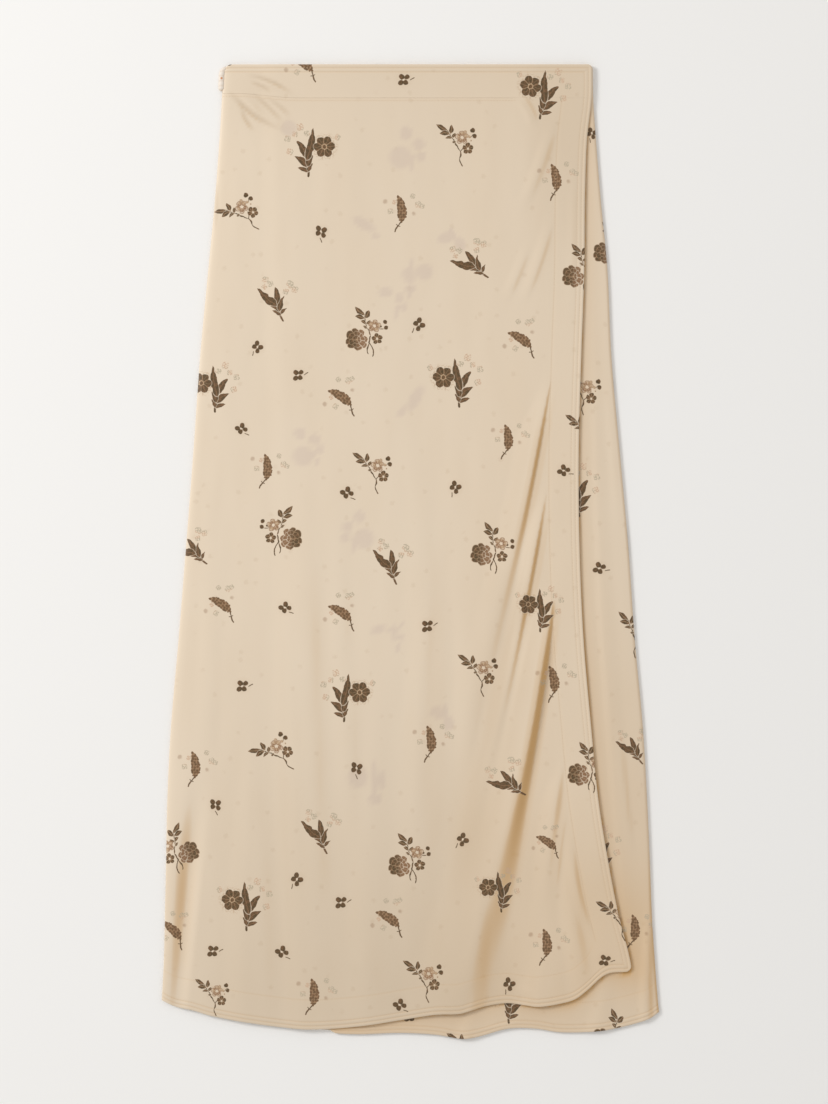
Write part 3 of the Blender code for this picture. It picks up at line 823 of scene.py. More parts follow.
# Painted shade in the grooves of the stitched rows and of the facing's row.
GROOVE_SHADE = 0.15
FACING_SHADE = 0.10
GROOVE_WIDE = 0.75
FREE_EDGE_ROUND = 2.3
FREE_EDGE_PRESSED = 0.45
PLAIN = 99.0
ROWS_CLOSE = 0.62
COLUMNS_CLOSE = 1.25

# The painted shade of a fold's steep side: the step over which the fall is measured, the fall at
# which the shade starts, how fast it deepens and the most that it reaches.
FALL_STEPS = ((0.8, 0.07, 0.28, 0.78), (8.0, 0.03, 0.20, 0.26))
# The under front's painted shade: all over, as painted shadow beside the wrap's edge and below its lifted
# hem, and low at the right.
UNDER_SHADE = (0.03, 0.22)
UNDER_SHADE_GROWS = (420.0, 360.0)
UNDER_NEUTRAL = 0.55
GAP_SHADE = 0.42
GAP_ACROSS = 166.0
GAP_WIDE = 24.0
GAP_LONG = 6.5
WRAP_CORNER = (217.0, 889.0)
EDGE_SHADE = 0.22
EDGE_SHADE_WIDE = 14.0
LOW_SHADE = 0.18
LOW_BEGINS = (760.0, 90.0)
LOW_ENDS = (936.0, -50.0)
LOW_RIGHT = (185.0, 30.0)
HIP_FOLDS_SHOW = 0.35
HIP_FOLDS_IN = (0.0, 7.0)
HIP_FOLDS_BELOW = (760.0, 60.0)
EDGE_SHADOW_LINE = 0.75
EDGE_SHADOW_LINE_WIDE = 0.9
EDGE_SHADOW_LINE_GROWS = (30.0, 40.0)
UNDER_COLUMNS = 86
UNDER_ROWS = 200


def hidden_edge(down):
    return HIDDEN_EDGE_TOP + HIDDEN_EDGE_LEAN * down / SKIRT_LONG


def bend(fold, down):
    """Where a fold lies across at a depth: the parabola through its three points."""
    d0, a0, d1, a1, d2, a2 = fold[:6]
    first = a0 * (down - d1) * (down - d2) / ((d0 - d1) * (d0 - d2))
    second = a1 * (down - d0) * (down - d2) / ((d1 - d0) * (d1 - d2))
    third = a2 * (down - d0) * (down - d1) / ((d2 - d0) * (d2 - d1))
    return first + second + third


def fold_height(folds, across, down):
    """The height that the large folds add: a slow climb on the left, a steep fall on the right."""
    height = np.zeros(np.broadcast(across, down).shape)
    for row in folds:
        fold = Fold(*row)
        t = np.clip((down - fold.from_down) / (fold.to_down - fold.from_down), 0.0, 1.0)
        rising = smooth(t / fold.peak)
        sinking = smooth((t - fold.peak) / (1.0 - fold.peak))
        strength = np.where(t < fold.peak, rising, 1.0 - sinking)
        opened = between(NARROW_START, 1.0, rising)
        steep = between(fold.steep * opened, fold.foot, sinking)
        gentle = between(fold.gentle * opened, fold.gentle + fold.foot - fold.steep, sinking)
        lean = bend(fold, down + 1.0) - bend(fold, down)
        aside = (across - bend(fold, down)) * np.cos(np.arctan(lean))
        fall = 0.5 - 0.5 * np.sin(np.pi * np.clip(aside / (2.0 * steep), -0.5, 0.5))
        climb = smooth((aside + gentle) / (gentle - steep))
        height += fold.rise * strength * np.where(aside > -steep, fall, climb)
    return height


def crease_height(creases, across, down):
    """The height of small creases and soft waves: a rise along a bowed line, or a trough below 0."""
    height = np.zeros(np.broadcast(across, down).shape)
    for row in creases:
        crease = Crease(*row)
        run_across = crease.to_across - crease.from_across
        run_down = crease.to_down - crease.from_down
        long = math.hypot(run_across, run_down)
        ua, ud = run_across / long, run_down / long
        off_across, off_down = across - crease.from_across, down - crease.from_down
        t = np.clip((off_across * ua + off_down * ud) / long, 0.0, 1.0)
        aside = off_across * ud - off_down * ua - crease.bow * 4.0 * t * (1.0 - t)
        near = np.where(aside < 0.0, -aside / crease.left_wide, aside / crease.right_wide)
        shape = 0.5 + 0.5 * np.cos(np.pi * np.clip(near, 0.0, 1.0))
        height += crease.rise * smooth(t / CREASE_END) * smooth((1.0 - t) / CREASE_END) * shape
    return height


def undulation(across, down, seed):
    """The faint unevenness of cloth that has been smoothed by hand, longer down than across."""
    height = 0.0
    for waves, at in ((SLOW_WAVES, seed), (QUICK_WAVES, seed + QUICK_SEED_STEP)):
        height = height + waves.lift * np.array([
            noise.noise(Vector((a / waves.across, d / waves.down, at)))
            for a, d in zip(np.ravel(across), np.ravel(down))
        ])
    return height.reshape(np.shape(across))


def hip_round(from_side, top, wide=HIP_ROUND):
    """The height of a layer near a hip, where it rounds down to the seam with the back."""
    share = 1.0 - np.clip(from_side, 0.0, wide) / wide
    return between(HIP_LOW, top, np.sqrt(np.maximum(0.0, 1.0 - share * share)))


def from_turn(from_side, from_hem):
    """The distance from the nearer edge, which turns on an arc round the corner."""
    far_side, far_hem = FACING_TURN - from_side, FACING_TURN - from_hem
    return FACING_TURN - np.hypot(np.maximum(far_side, 0.0), np.maximum(far_hem, 0.0))


def edge_proud(from_side, from_hem):
    """How far a turned, faced and stitched edge stands proud, by the distance from each edge."""
    proud = np.interp(np.minimum(from_side, from_hem), *zip(*EDGE_PROFILE))
    beside = (from_side < from_hem) & (from_side > FREE_EDGE_ROUND)
    proud = proud * np.where(beside, FREE_EDGE_PRESSED, 1.0)
    return proud + np.interp(from_turn(from_side, from_hem), *zip(*FACING_PROFILE))


def corner_rounded(from_free, from_hem, radius=CORNER_ROUND):
    """Move points near a square corner so that its outline turns on an arc."""
    u = np.clip(1.0 - from_free / radius, 0.0, 1.0)
    v = np.clip(1.0 - from_hem / radius, 0.0, 1.0)
    near = (u > 0.0) & (v > 0.0)
    shift_free = np.where(near, radius * u * (1.0 - np.sqrt(1.0 - v * v / 2.0)), 0.0)
    shift_hem = np.where(near, radius * v * (1.0 - np.sqrt(1.0 - u * u / 2.0)), 0.0)
    return shift_free, shift_hem


def groove_shade(from_side, from_hem):
    """The painted shade in the stitched grooves, by the distance from each edge."""
    shade = FACING_SHADE * bell(from_turn(from_side, from_hem) - FACING_ROW, GROOVE_WIDE)
    pressed = np.where(from_side < from_hem, FREE_EDGE_PRESSED, 1.0)
    for row in EDGE_ROWS:
        shade = shade + GROOVE_SHADE * pressed * bell(np.minimum(from_side, from_hem) - row, GROOVE_WIDE)
    return shade


def over(shade, deeper):
    """One shade over another, each from 0 to 1."""
    return 1.0 - (1.0 - shade) * (1.0 - deeper)


def under_height(across, down):
    from_right = section("right", down) - across
    relief = fold_height(UNDER_FOLDS, across, down) + crease_height(UNDER_CREASES, across, down)
    relief = relief + UNDER_UNEVEN * undulation(across, down, UNDER_SEED)
    return hip_round(from_right, UNDER_TOP + relief * smooth(from_right / HIP_ROUND), RIGHT_HIP_ROUND)


def under_across(share, down):
    return between(hidden_edge(down), section("right", down), share)


def row_down(row, rows, ends):
    """How far down each grid row lies and how far from the hem: even steps, then the hem's rows."""
    near = np.array(sorted(NEAR_EDGE, reverse=True))
    steps = rows - len(near) + 1
    from_hem = near[np.maximum(row - steps, 0)]
    share = np.minimum(row / steps, 1.0)
    down = between(PANEL_TOP, ends - from_hem, share * between(ROWS_CLOSE, 1.0, share))
    return down, np.where(row < steps, PLAIN, from_hem)


def painted_warm_shade(height_at, across, down):
    """How much painted warm shade each place gets, from 0 to 1, by how steeply the cloth falls to the
    right, as on a fold's steep side.
    """
    shade = np.zeros(np.shape(across))
    for step, least, span, most in FALL_STEPS:
        fall = (height_at(across - step, down) - height_at(across + step, down)) / (2.0 * step)
        shade = over(shade, most * (1.0 - np.exp(-np.maximum(fall - least, 0.0) / span)))
    return shade


def under_painted_shade(down):
    """How deep the under front lies in painted shade all over, from its waist to its hem."""
    return between(*UNDER_SHADE, ramp(down, *UNDER_SHADE_GROWS))


def under_warm_shade(across, down):
    """The under front's painted warm shade: all over, on its folds, low at its right, and as painted shadow
    beside the wrap's free edge and below its hem.
    """
    beside = np.maximum(across - section("free_edge", np.minimum(down, WRAP_CORNER[1])), 0.0)
    below = np.maximum(down - through(FRONT_HEM, 1, np.minimum(across, WRAP_CORNER[0])), 0.0)
    away = np.hypot(beside, below)
    resting = (1.0 - UNDER_NEUTRAL) * under_painted_shade(down)
    # Painted shadow: a dark line and a wider shade beside the wrap's free edge and hem, and a shadow below
    # its lifted hem.
    line = EDGE_SHADOW_LINE * ramp(down, *EDGE_SHADOW_LINE_GROWS)
    close = EDGE_SHADE * np.exp(-away / EDGE_SHADE_WIDE) + line * np.exp(-away / EDGE_SHADOW_LINE_WIDE)
    lifted = bell(across - GAP_ACROSS, GAP_WIDE)
    close = close + GAP_SHADE * lifted * bell(below, GAP_LONG) * (below > 0.0)
    inner = np.maximum(ramp(section("right", down) - across, *HIP_FOLDS_IN), ramp(down, *HIP_FOLDS_BELOW))
    painted_fold_shade = painted_warm_shade(under_height, across, down) * between(HIP_FOLDS_SHOW, 1.0, inner)
    low = LOW_SHADE * ramp(down, *LOW_BEGINS) * ramp(down, *LOW_ENDS) * ramp(across, *LOW_RIGHT)
    return np.clip(np.maximum(painted_fold_shade, resting + close + low), 0.0, 1.0)


under_shares = 1.0 - (1.0 - np.linspace(0.0, 1.0, UNDER_COLUMNS + 1)) ** COLUMNS_CLOSE
under_ends = hem_down(UNDER_HEM, lambda down: under_across(under_shares, down))


def place_under(column, row):
    down, from_hem = row_down(row, UNDER_ROWS, under_ends[column])
    across = under_across(under_shares[column], down)
    height = under_height(across, down) + edge_proud(PLAIN, from_hem)
    warm_shade_share = over(under_warm_shade(across, down), groove_shade(PLAIN, from_hem))
    shift_hidden, shift_hem = corner_rounded(across - hidden_edge(down), from_hem, HIDDEN_CORNER_ROUND)
    lying = UNDER_NEUTRAL * under_painted_shade(down)
    return across + shift_hidden, down - shift_hem, height, warm_shade_share, lying


under = lay_cloth("under_front_cloth", UNDER_COLUMNS, UNDER_ROWS, place_under)
print_on(under, UNDER_PRINT)
thicken(under, CLOTH_THICK)
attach(under, "root")
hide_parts("under_front_panel")


# The wrap's front: the large satin panel on top, joined to the back at the left hip. Its free edge
# and hem are faced, turned and stitched twice, and its folds hang from the facing's stitch line.
FRONT_TOP = 4.8
LOFT = 0.9
LOFT_LONG = 120.0
LOFT_FROM_HIP = 3.0 * HIP_ROUND
SETTLE = 0.9
SETTLE_WIDE = 22.0
SETTLE_LEAD = 2.0
FRONT_SEED = 11.0
FRONT_UNEVEN_FROM = (12.0, 60.0)
FRONT_FOLDS = (
    (510, 143.2, 704.8, 113.4, 1150, -5, 6.4, 0.16, 3.6, 32.0, 56),
    (300, 140, 448.7, 112.2, 740, 44.0, 2.5, 0.18, 1.9, 13.0, 26),
    (412, 135.2, 528, 115.0, 850, 36.9, 2.4, 0.16, 2.0, 8.0, 20),
    (680, 152.5, 748, 143.8, 900, 138, 1.5, 0.25, 4.2, 9.0, 20),
    (740, 158, 815, 163.0, 960, 186, 1.3, 0.50, 7.0, 10.0, 22),
    (800, 150, 870, 150.0, 1060, 150, 2.0, 0.60, 24.0, 24.0, 48),
    (330, -92, 620, -98.0, 1000, -82, 1.15, 0.55, 19.0, 19.0, 42),
    (420, 30, 620, 28.0, 1000, 2, 1.25, 0.45, 18.0, 18.0, 42),
    (560, -30, 760, -26.0, 1060, -30, 1.1, 0.60, 18.0, 18.0, 40),
    (600, -150, 800, -144.0, 1040, -152, 1.1, 0.60, 18.0, 18.0, 42),
)
FRONT_CREASES = (
    (-160, 15, -108, 36, 3, 0.7, 5, 5), (-172, 30, -112, 72, -3, 0.7, 5, 5),
    (102, 26, 123, 64, 4, 0.9, 9, 6),
    (141, 142, 106, 244, 3, 0.7, 10, 6), (117, 172, 90, 238, 2, 0.55, 9, 6),
    (142, 50, 106, 150, 3, 0.8, 10, 8), (160, 75, 158, 260, 0, 0.3, 5, 5),
    (-113, 380, -90, 930, 5, 0.55, 17, 17), (-72, 400, -50, 860, -4, 0.65, 16, 16),
    (5, 320, 0, 820, 7, 0.6, 17, 17), (-190, 450, -200, 760, -3, 0.45, 16, 14),
    (52, 470, 60, 780, 0, 0.5, 15, 17), (-150, 720, -141, 975, 3, 0.45, 17, 16),
    (154, 720, 142, 830, -2, 0.6, 7, 4.5), (158, 760, 182, 870, -5, 0.7, 8, 5),
    (-100, 860, -30, 905, 5, 0.4, 14, 12), (80, 905, 128, 912, -2, 0.6, 7, 5),
    (66, 780, 60, 940, 2, 0.5, 18, 15),
)
FRONT_TROUGHS = ((-207, 690, -243, 1010, 0, -3.8, 18, 16),)
PULLS = (
    (-164, 10, -114, 30, 3, -0.8, 3.6, 3.4), (-184, 28, -120, 68, -3, -0.9, 3.8, 3.6),
    (-160, 17, -134, 31, 1, -0.7, 3.2, 3.2), (-168, 42, -150, 68, -2, -0.6, 3.6, 3.6),
    (-158, 31, -122, 60, 2, -0.7, 3.4, 3.2), (-144, 34, -114, 54, 2, -0.5, 3.6, 3.6),
    (101, 30, 122, 62, 4, -0.3, 3.6, 3.6), (-191, 108, -192, 168, 0, -0.7, 3.6, 3.2),
)
PULLS_MIDDLE = (-150.0, 32.0)
PULLS_SPREAD = (32.0, 30.0)
# Painted plain shade in and round the creases that the tie pulls into the waist, with less of the folds'
# warm shade there.
PULL_SHADE = 0.24
PULL_DEEP = 0.8
PULLED_SHADE = 0.09
PULLS_NEUTRAL = 0.6
HIP_COLUMNS = (0.0, 0.03, 0.09, 0.18, 0.30, 0.45, 0.62, 0.81)
BODY_PARTS = ((0.0, 0.22, 46), (0.22, 0.66, 38), (0.66, 1.0, 64))
FRONT_ROWS = 262

# The painted shade that the wrap lies in, warm and plain. A pair is where a shade starts and the run in
# which it grows, or fades where the run is below 0; where a shade only thins out, a single number says how
# much is left.
# Painted warm shade at the wrap's right, growing down its length, at its lower right corner and in the
# trough near the left hem.
RIGHT_WARM_SHADE = 0.07
RIGHT_FROM = (-15.0, 135.0)
TOP_WARM_SHADE = 0.35
TOP_GROWS = (200.0, 250.0)
WARM_SHADE_DOUBLES = (640.0, 140.0)
CORNER_WARM_SHADE = 0.06
CORNER_FROM = (145.0, 25.0)
CORNER_BELOW = (760.0, 60.0)
TROUGH_WARM_SHADE = 0.085
TROUGH_DEEP = (0.5, 3.0)
TROUGH_ENDS = (905.0, -30.0)
# Painted plain shade: at the hem, low in the middle, at the upper right, beside the main fold, at the
# waist, on the slopes that climb to the main fold and in the pulled creases.
HEM_SHADE = 0.27
HEM_GROWS = (690.0, 250.0)
HEM_ON_ONE_LAYER = 0.8
DOUBLED_FROM = (-60.0, 160.0)
HEM_THINS = 0.45
HEM_LEFT = (-245.0, 90.0)
HEM_RIGHT = (84.0, 30.0)
HEM_RIGHT_BELOW = (780.0, 80.0)
MIDDLE_SHADE = 0.09
MIDDLE_DEEP = 735.0
MIDDLE_LONG = 120.0
MIDDLE_LEFT = (-235.0, 70.0)
MIDDLE_RIGHT = (90.0, -80.0)
CORNER_SHADE = 0.11
CORNER_SHADE_FROM = (104.0, 26.0)
CORNER_SHADE_DOWN = 90.0
CORNER_SHADE_LONG = 100.0
FLANK_SHADE = 0.13
FLANK_AWAY = 44.0
FLANK_WIDE = 20.0
FLANK_STRAIGHT = 540.0
FLANK_BEGINS = (480.0, 60.0)
FLANK_ENDS = (840.0, -90.0)
WAIST_SHADE = 0.12
WAIST_LONG = 130.0
WAIST_FROM = (-170.0, 120.0)
CLIMB_SHADE = 0.12
CLIMB_STEP = 8.0
CLIMB_FROM = (0.04, 0.16)
CLIMB_INSIDE = (20.0, 40.0)
SEAM_SUNK = 0.22
SEAM_WIDE = 3.0
SEAM_PROUD = 0.12
SEAM_ROW = 35.8
SEAM_SHADE = 0.10
SEAM_ENDS = 108.0
SEAM_FADES = 14.0
SEAM_PULLED = 4.5
SEAM_PULLED_FROM = (-112.0, -60.0)
SEAM_PULLED_LONG = 14.0
SHOWING_THROUGH = {
    "clover": ((-120, 63, 0, 1, 1.3),),
    "rose": ((0, 84), (-100, 376, 20, 1, 0.9), (-55, 460, 0, -1, 0.9)),
    "cone": ((-45, 158, 60, 1, 0.9), (4, 330, -30)),
    "posy": ((4, 207, 0, 1, 0.8), (-40, 705, 0, -1)),
    "berry": ((-15, 232, 0, 1, 0.8), (-20, 560, 20, 1, 0.8)),
    "spray": ((48, 168, 20, 1, 0.9), (40, 640, 0, 1, 0.9)),
}


def near_pulls(across, down):
    """1 in the middle of the creases that the tie pulls into the waist's left end, easing to 0."""
    away = np.hypot(
        (across - PULLS_MIDDLE[0]) / PULLS_SPREAD[0], (down - PULLS_MIDDLE[1]) / PULLS_SPREAD[1]
    )
    return bell(away, 1.0)


def front_warm_shade(across, down):
    """The painted warm shade of each place of the wrap: on its folds' steep sides, at its right, at its
    lower right corner and in the trough near the left hem.
    """
    share = between(TOP_WARM_SHADE, 1.0, ramp(down, *TOP_GROWS)) + ramp(down, *WARM_SHADE_DOUBLES)
    # Painted warm shade at the right, at the lower right corner and in the hem trough, over the painted
    # shade of the folds.
    warm = RIGHT_WARM_SHADE * ramp(across, *RIGHT_FROM) * share
    warm = warm + CORNER_WARM_SHADE * ramp(across, *CORNER_FROM) * ramp(down, *CORNER_BELOW)
    low = ramp(-crease_height(FRONT_TROUGHS, across, down), *TROUGH_DEEP)
    warm = warm + TROUGH_WARM_SHADE * low * ramp(down, *TROUGH_ENDS)
    steeply = painted_warm_shade(front_relief, across, down) * (1.0 - PULLS_NEUTRAL * near_pulls(across, down))
    return over(steeply, warm)


def front_lying(across, down):
    """How deep in painted plain shade the wrap lies: at its waist and hem, where it climbs to the main fold
    and where the waist pulls it."""
    doubled = ramp(across - hidden_edge(down), *DOUBLED_FROM)
    lying = HEM_SHADE * ramp(down, *HEM_GROWS) * between(HEM_ON_ONE_LAYER, 1.0, doubled)
    lying = lying * between(HEM_THINS, 1.0, ramp(across, *HEM_LEFT))
    lying = lying * between(1.0, HEM_THINS, ramp(across, *HEM_RIGHT) * ramp(down, *HEM_RIGHT_BELOW))
    middle = ramp(across, *MIDDLE_LEFT) * ramp(across, *MIDDLE_RIGHT)
    lying = lying + MIDDLE_SHADE * middle * bell(down - MIDDLE_DEEP, MIDDLE_LONG)
    corner = bell(down - CORNER_SHADE_DOWN, CORNER_SHADE_LONG)
    lying = lying + CORNER_SHADE * ramp(across, *CORNER_SHADE_FROM) * corner
    main_fold = bend(Fold(*FRONT_FOLDS[0]), np.maximum(down, FLANK_STRAIGHT))
    flank = bell(across - main_fold + FLANK_AWAY, FLANK_WIDE)
    lying = lying + FLANK_SHADE * flank * ramp(down, *FLANK_BEGINS) * ramp(down, *FLANK_ENDS)
    lying = lying + WAIST_SHADE * np.exp(-down / WAIST_LONG) * ramp(across, *WAIST_FROM)
    climb = front_relief(across + CLIMB_STEP, down) - front_relief(across - CLIMB_STEP, down)
    inside = ramp(across - section("left", down), *CLIMB_INSIDE)
    lying = lying + CLIMB_SHADE * ramp(climb / (2.0 * CLIMB_STEP), *CLIMB_FROM) * inside
    pulled = np.minimum(np.maximum(-crease_height(PULLS, across, down), 0.0) / PULL_DEEP, 1.0)
    lying = lying + PULL_SHADE * pulled + PULLED_SHADE * near_pulls(across, down)
    return np.clip(lying, 0.0, 1.0)


def seam_shows(across):
    """1 where the waistband's seam shows, easing to 0 at the right, where the cloth is pressed flat."""
    return ramp(across, SEAM_ENDS, -SEAM_FADES)


def seam_rise(across, down):
    """How far the waistband's seam is pulled up towards the tie at its left end."""
    return SEAM_PULLED * ramp(across, *SEAM_PULLED_FROM) * bell(down - BAND_DEEP, SEAM_PULLED_LONG)


def front_across(column, down):
    """The distance across of a column at a depth: hip and body by shares, the edge by distances."""
    left, free_edge = section("left", down), section("free_edge", down)
    amounts = front_amounts[column]
    hip = left + amounts * HIP_ROUND
    body = between(left + HIP_ROUND, free_edge - NEAR_EDGE[-1], amounts)
    return np.choose(front_regions[column], (hip, body, free_edge - amounts))


def front_relief(across, down):
    """The outer face of the wrap's front without its stitched edges."""
    covered = smooth((across - hidden_edge(down)) / SETTLE_WIDE + SETTLE_LEAD)
    level = between(FRONT_TOP - SETTLE, FRONT_TOP, covered)
    puff = LOFT * ramp(down, BAND_DEEP, LOFT_LONG)
    from_left = across - section("left", down)
    folds = fold_height(FRONT_FOLDS, across, down) + fold_height(UNDER_FOLDS, across, down)
    folds = folds + undulation(across, down, FRONT_SEED) * ramp(down, *FRONT_UNEVEN_FROM)
    for creases in (FRONT_CREASES, PULLS, FRONT_TROUGHS):
        folds = folds + crease_height(creases, across, down)
    return hip_round(from_left, level + (puff + folds) * smooth(from_left / LOFT_FROM_HIP))


body_shares = np.append(np.concatenate([
    np.linspace(low, high, steps, endpoint=False) for low, high, steps in BODY_PARTS
]), 1.0)
edge_places = np.array(sorted(NEAR_EDGE[:-1], reverse=True))
front_regions = np.repeat((0, 1, 2), (len(HIP_COLUMNS), len(body_shares), len(edge_places)))
front_amounts = np.concatenate((HIP_COLUMNS, body_shares, edge_places))
FRONT_COLUMNS = len(front_amounts) - 1
front_ends = hem_down(FRONT_HEM, lambda down: front_across(slice(None), down))


def place_front(column, row):
    down, from_hem = row_down(row, FRONT_ROWS, front_ends[column])
    across = front_across(column, down)
    from_free = section("free_edge", down) - across
    height = front_relief(across, down) + edge_proud(from_free, from_hem)
    height = height - SEAM_SUNK * seam_shows(across) * ramp(down, BAND_DEEP + SEAM_WIDE, -SEAM_WIDE)
    # Painted shade along the waistband seam's row of stitching.
    sewn = np.where(row > 0, SEAM_SHADE * bell(down - SEAM_ROW, GROOVE_WIDE) * seam_shows(across), 0.0)
    warm_shade_share = over(over(front_warm_shade(across, down), groove_shade(from_free, from_hem)), sewn)
    shift_free, shift_hem = corner_rounded(from_free, from_hem)
    shift_hem = shift_hem + seam_rise(across, down)
    return across - shift_free, down - shift_hem, height, warm_shade_share, front_lying(across, down)


front = lay_cloth("front_cloth", FRONT_COLUMNS, FRONT_ROWS, place_front, SHOWING_THROUGH)
print_on(front, FRONT_PRINT)
thicken(front, CLOTH_THICK)
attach(front, "root")
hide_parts("front_panel")


# The waistband: a faced strip of the same satin, 33 mm deep, in the three layers that it forms when
# the skirt lies flat. Its top edge is turned and stitched twice, and it meets the panels in a seam.
BAND_CORNER_ROUND = 4.5
BAND_END_ROUND = 8.0
BAND_STOPS = (*EDGE_STOPS, 13.0, 15.5, 18.0, 20.5, 23.0, 25.5, 27.5, 29.2, 30.2, 31.2, 32.1, BAND_DEEP)
BAND_FRONT_FLAT = (0.366, 0.033)
BAND_UNDER_FLAT = (0.290, 0.033)
BAND_BACK_FLAT = (0.366, 0.033)
band_down = np.array(BAND_STOPS)


def place_band_front(column, row):
    down = band_down[row]
    across = front_across(column, down)
    from_free = section("free_edge", down) - across
    from_left = across - section("left", down)
    from_top = np.where(down > EDGE_STOPS[-1], PLAIN, down)
    turned = np.minimum(from_free, from_top) < EDGE_STOPS[-1]
    height = front_relief(across, down) + np.where(turned, edge_proud(from_free, from_top), 0.0)
    height = height + SEAM_PROUD * seam_shows(across) * ramp(down, BAND_DEEP - SEAM_WIDE, SEAM_WIDE)
    shift_free, shift_top = corner_rounded(from_free, down, BAND_CORNER_ROUND)
    shift_left, shift_end = corner_rounded(from_left, down, BAND_END_ROUND)
    warm_shade_share = over(front_warm_shade(across, down), np.where(turned, groove_shade(from_free, from_top), 0.0))
    lying = front_lying(across, down)
    shift_end = shift_end - seam_rise(across, down)
    return across - shift_free + shift_left, down + shift_top + shift_end, height, warm_shade_share, lying


def place_band_under(column, row):
    down = band_down[row]
    across = under_across(under_shares[column], down)
    shift_right, shift_top = corner_rounded(section("right", down) - across, down, BAND_CORNER_ROUND)
    height, warm_shade_share = under_height(across, down), under_warm_shade(across, down)
    return across - shift_right, down + shift_top, height, warm_shade_share, np.zeros(down.shape)


def place_band_back(column, row):
    down = band_down[row]
    across = back_across(back_shares[column], down)
    shift_left, shift_end = corner_rounded(across - section("left", down), down, BAND_END_ROUND)
    shift_right, shift_top = corner_rounded(section("right", down) - across, down, BAND_CORNER_ROUND)
    across = across + shift_left - shift_right
    plain = np.zeros(down.shape)
    return across, down + shift_end + shift_top, np.full(down.shape, BACK_THICK), plain, plain


for node, columns, place, chart, thick, flat, rests_on in (
    ("waistband_back", BACK_COLUMNS, place_band_back, {}, BACK_THICK, BAND_BACK_FLAT, []),
    ("waistband_under", UNDER_COLUMNS, place_band_under, {}, CLOTH_THICK, BAND_UNDER_FLAT,
     ["waistband_back_cloth"]),
    ("waistband_front", FRONT_COLUMNS, place_band_front, FRONT_PRINT, CLOTH_THICK, BAND_FRONT_FLAT,
     ["waistband_under_cloth", "waistband_back_cloth"]),
):
    band = lay_cloth(node + "_cloth", columns, len(BAND_STOPS) - 1, place)
    print_on(band, chart)
    thicken(band, thick)
    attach(band, "root")
    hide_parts(node)


# The tie loop: the gathered end of the hip tie, a narrow paler satin tube that shows at the left end
# of the waistband. It is pulled up into a few ribs, and its ends are caught in the band's side seam.
LOOP_LONG = 24.4
LOOP_WIDE = 5.8
LOOP_THICK = 3.8
LOOP_DOWN = 14.0
LOOP_SIDES = 24
LOOP_RINGS = 72
LOOP_RIBS = 5
LOOP_RIBS_LEAN = 0.5
LOOP_RIB_DEEP = 0.12
LOOP_PLEATS = 7.0
LOOP_PLEATS_TWIST = 9.0
LOOP_PLEAT_DEEP = 0.05
LOOP_ENDS_ROUND = 0.13
LOOP_LEAN = 3.4
LOOP_LEAN_LONG = 8.0
LOOP_OVERHANG = 0.8
LOOP_TUCKED = 1.3
LOOP_WEAVE_STRETCH = (0.7, 2.2, 1.0)
LOOP_RELIEF = 0.25
# Painted shade in the loop's ribs, pleats and tucked ends, mixed towards TIE_SHADE.
RIB_SHADE = 0.25
PLEAT_SHADE = 0.10
TUCK_SHADE = 0.4
TIE_SAND = (0.800, 0.715, 0.620, 1.0)
TIE_SHADE = (0.560, 0.400, 0.270, 1.0)
TIE_SPECK = (0.560, 0.255, 0.120, 1.0)
TIE_SPECK_PLACE = (-0.1864, 0.4664, 0.0036)
TIE_SPECK_SIZE = 0.0016


def tie_colour(place):
    # The tie's colour darkens towards painted shade in its ribs, pleats and tucked ends, and has a small
    # dark speck.
    gather_shade_share = add("Attribute", output="Fac", tree=place.id_data, attribute_name="painted_gather_shade")
    span = add("VectorMath", {0: place, 1: TIE_SPECK_PLACE}, "Value", operation="DISTANCE")
    speck = eased(span, TIE_SPECK_SIZE, TIE_SPECK_SIZE * 0.5)
    return mixed(speck, mixed(gather_shade_share, TIE_SAND, TIE_SHADE), TIE_SPECK)


loop = start_mesh(
    "tie_loop_cloth", bpy.ops.mesh.primitive_uv_sphere_add,
    segments=LOOP_SIDES, ring_count=LOOP_RINGS, radius=1.0, calc_uvs=False,
)
loop_points = read(loop.data.vertices, "co", 3)
share = np.arccos(np.clip(loop_points[:, 2], -1.0, 1.0)) / math.pi
around = np.arctan2(loop_points[:, 1], loop_points[:, 0])
tucked = smooth(np.minimum(share, 1.0 - share) / LOOP_ENDS_ROUND) ** 0.5
rib = 0.5 + 0.5 * np.cos(2.0 * math.pi * LOOP_RIBS * share + LOOP_RIBS_LEAN * np.sin(around))
pleat = 0.5 + 0.5 * np.cos(LOOP_PLEATS * around + LOOP_PLEATS_TWIST * share)
swell = tucked * (1.0 - LOOP_RIB_DEEP * rib**2 - LOOP_PLEAT_DEEP * pleat * (1.0 - rib))
out, up = swell * np.cos(around), swell * np.sin(around)
loop_down = LOOP_DOWN - LOOP_LONG * (0.5 - share)
lean = LOOP_LEAN * (1.0 - np.clip(LOOP_LONG * share / LOOP_LEAN_LONG, 0.0, 1.0)) ** 2
loop_middle = section("left", loop_down) + LOOP_TUCKED - LOOP_WIDE / 2.0
loop_points[:, 0] = (loop_middle + lean + LOOP_WIDE / 2.0 * out + LOOP_OVERHANG * up) * MM
loop_points[:, 1] = (MIDDLE_DOWN - loop_down) * MM
loop_points[:, 2] = (LOOP_THICK / 2.0 * (1.0 + up) + SEAM_GAP) * MM
loop.data.vertices.foreach_set("co", loop_points.ravel())
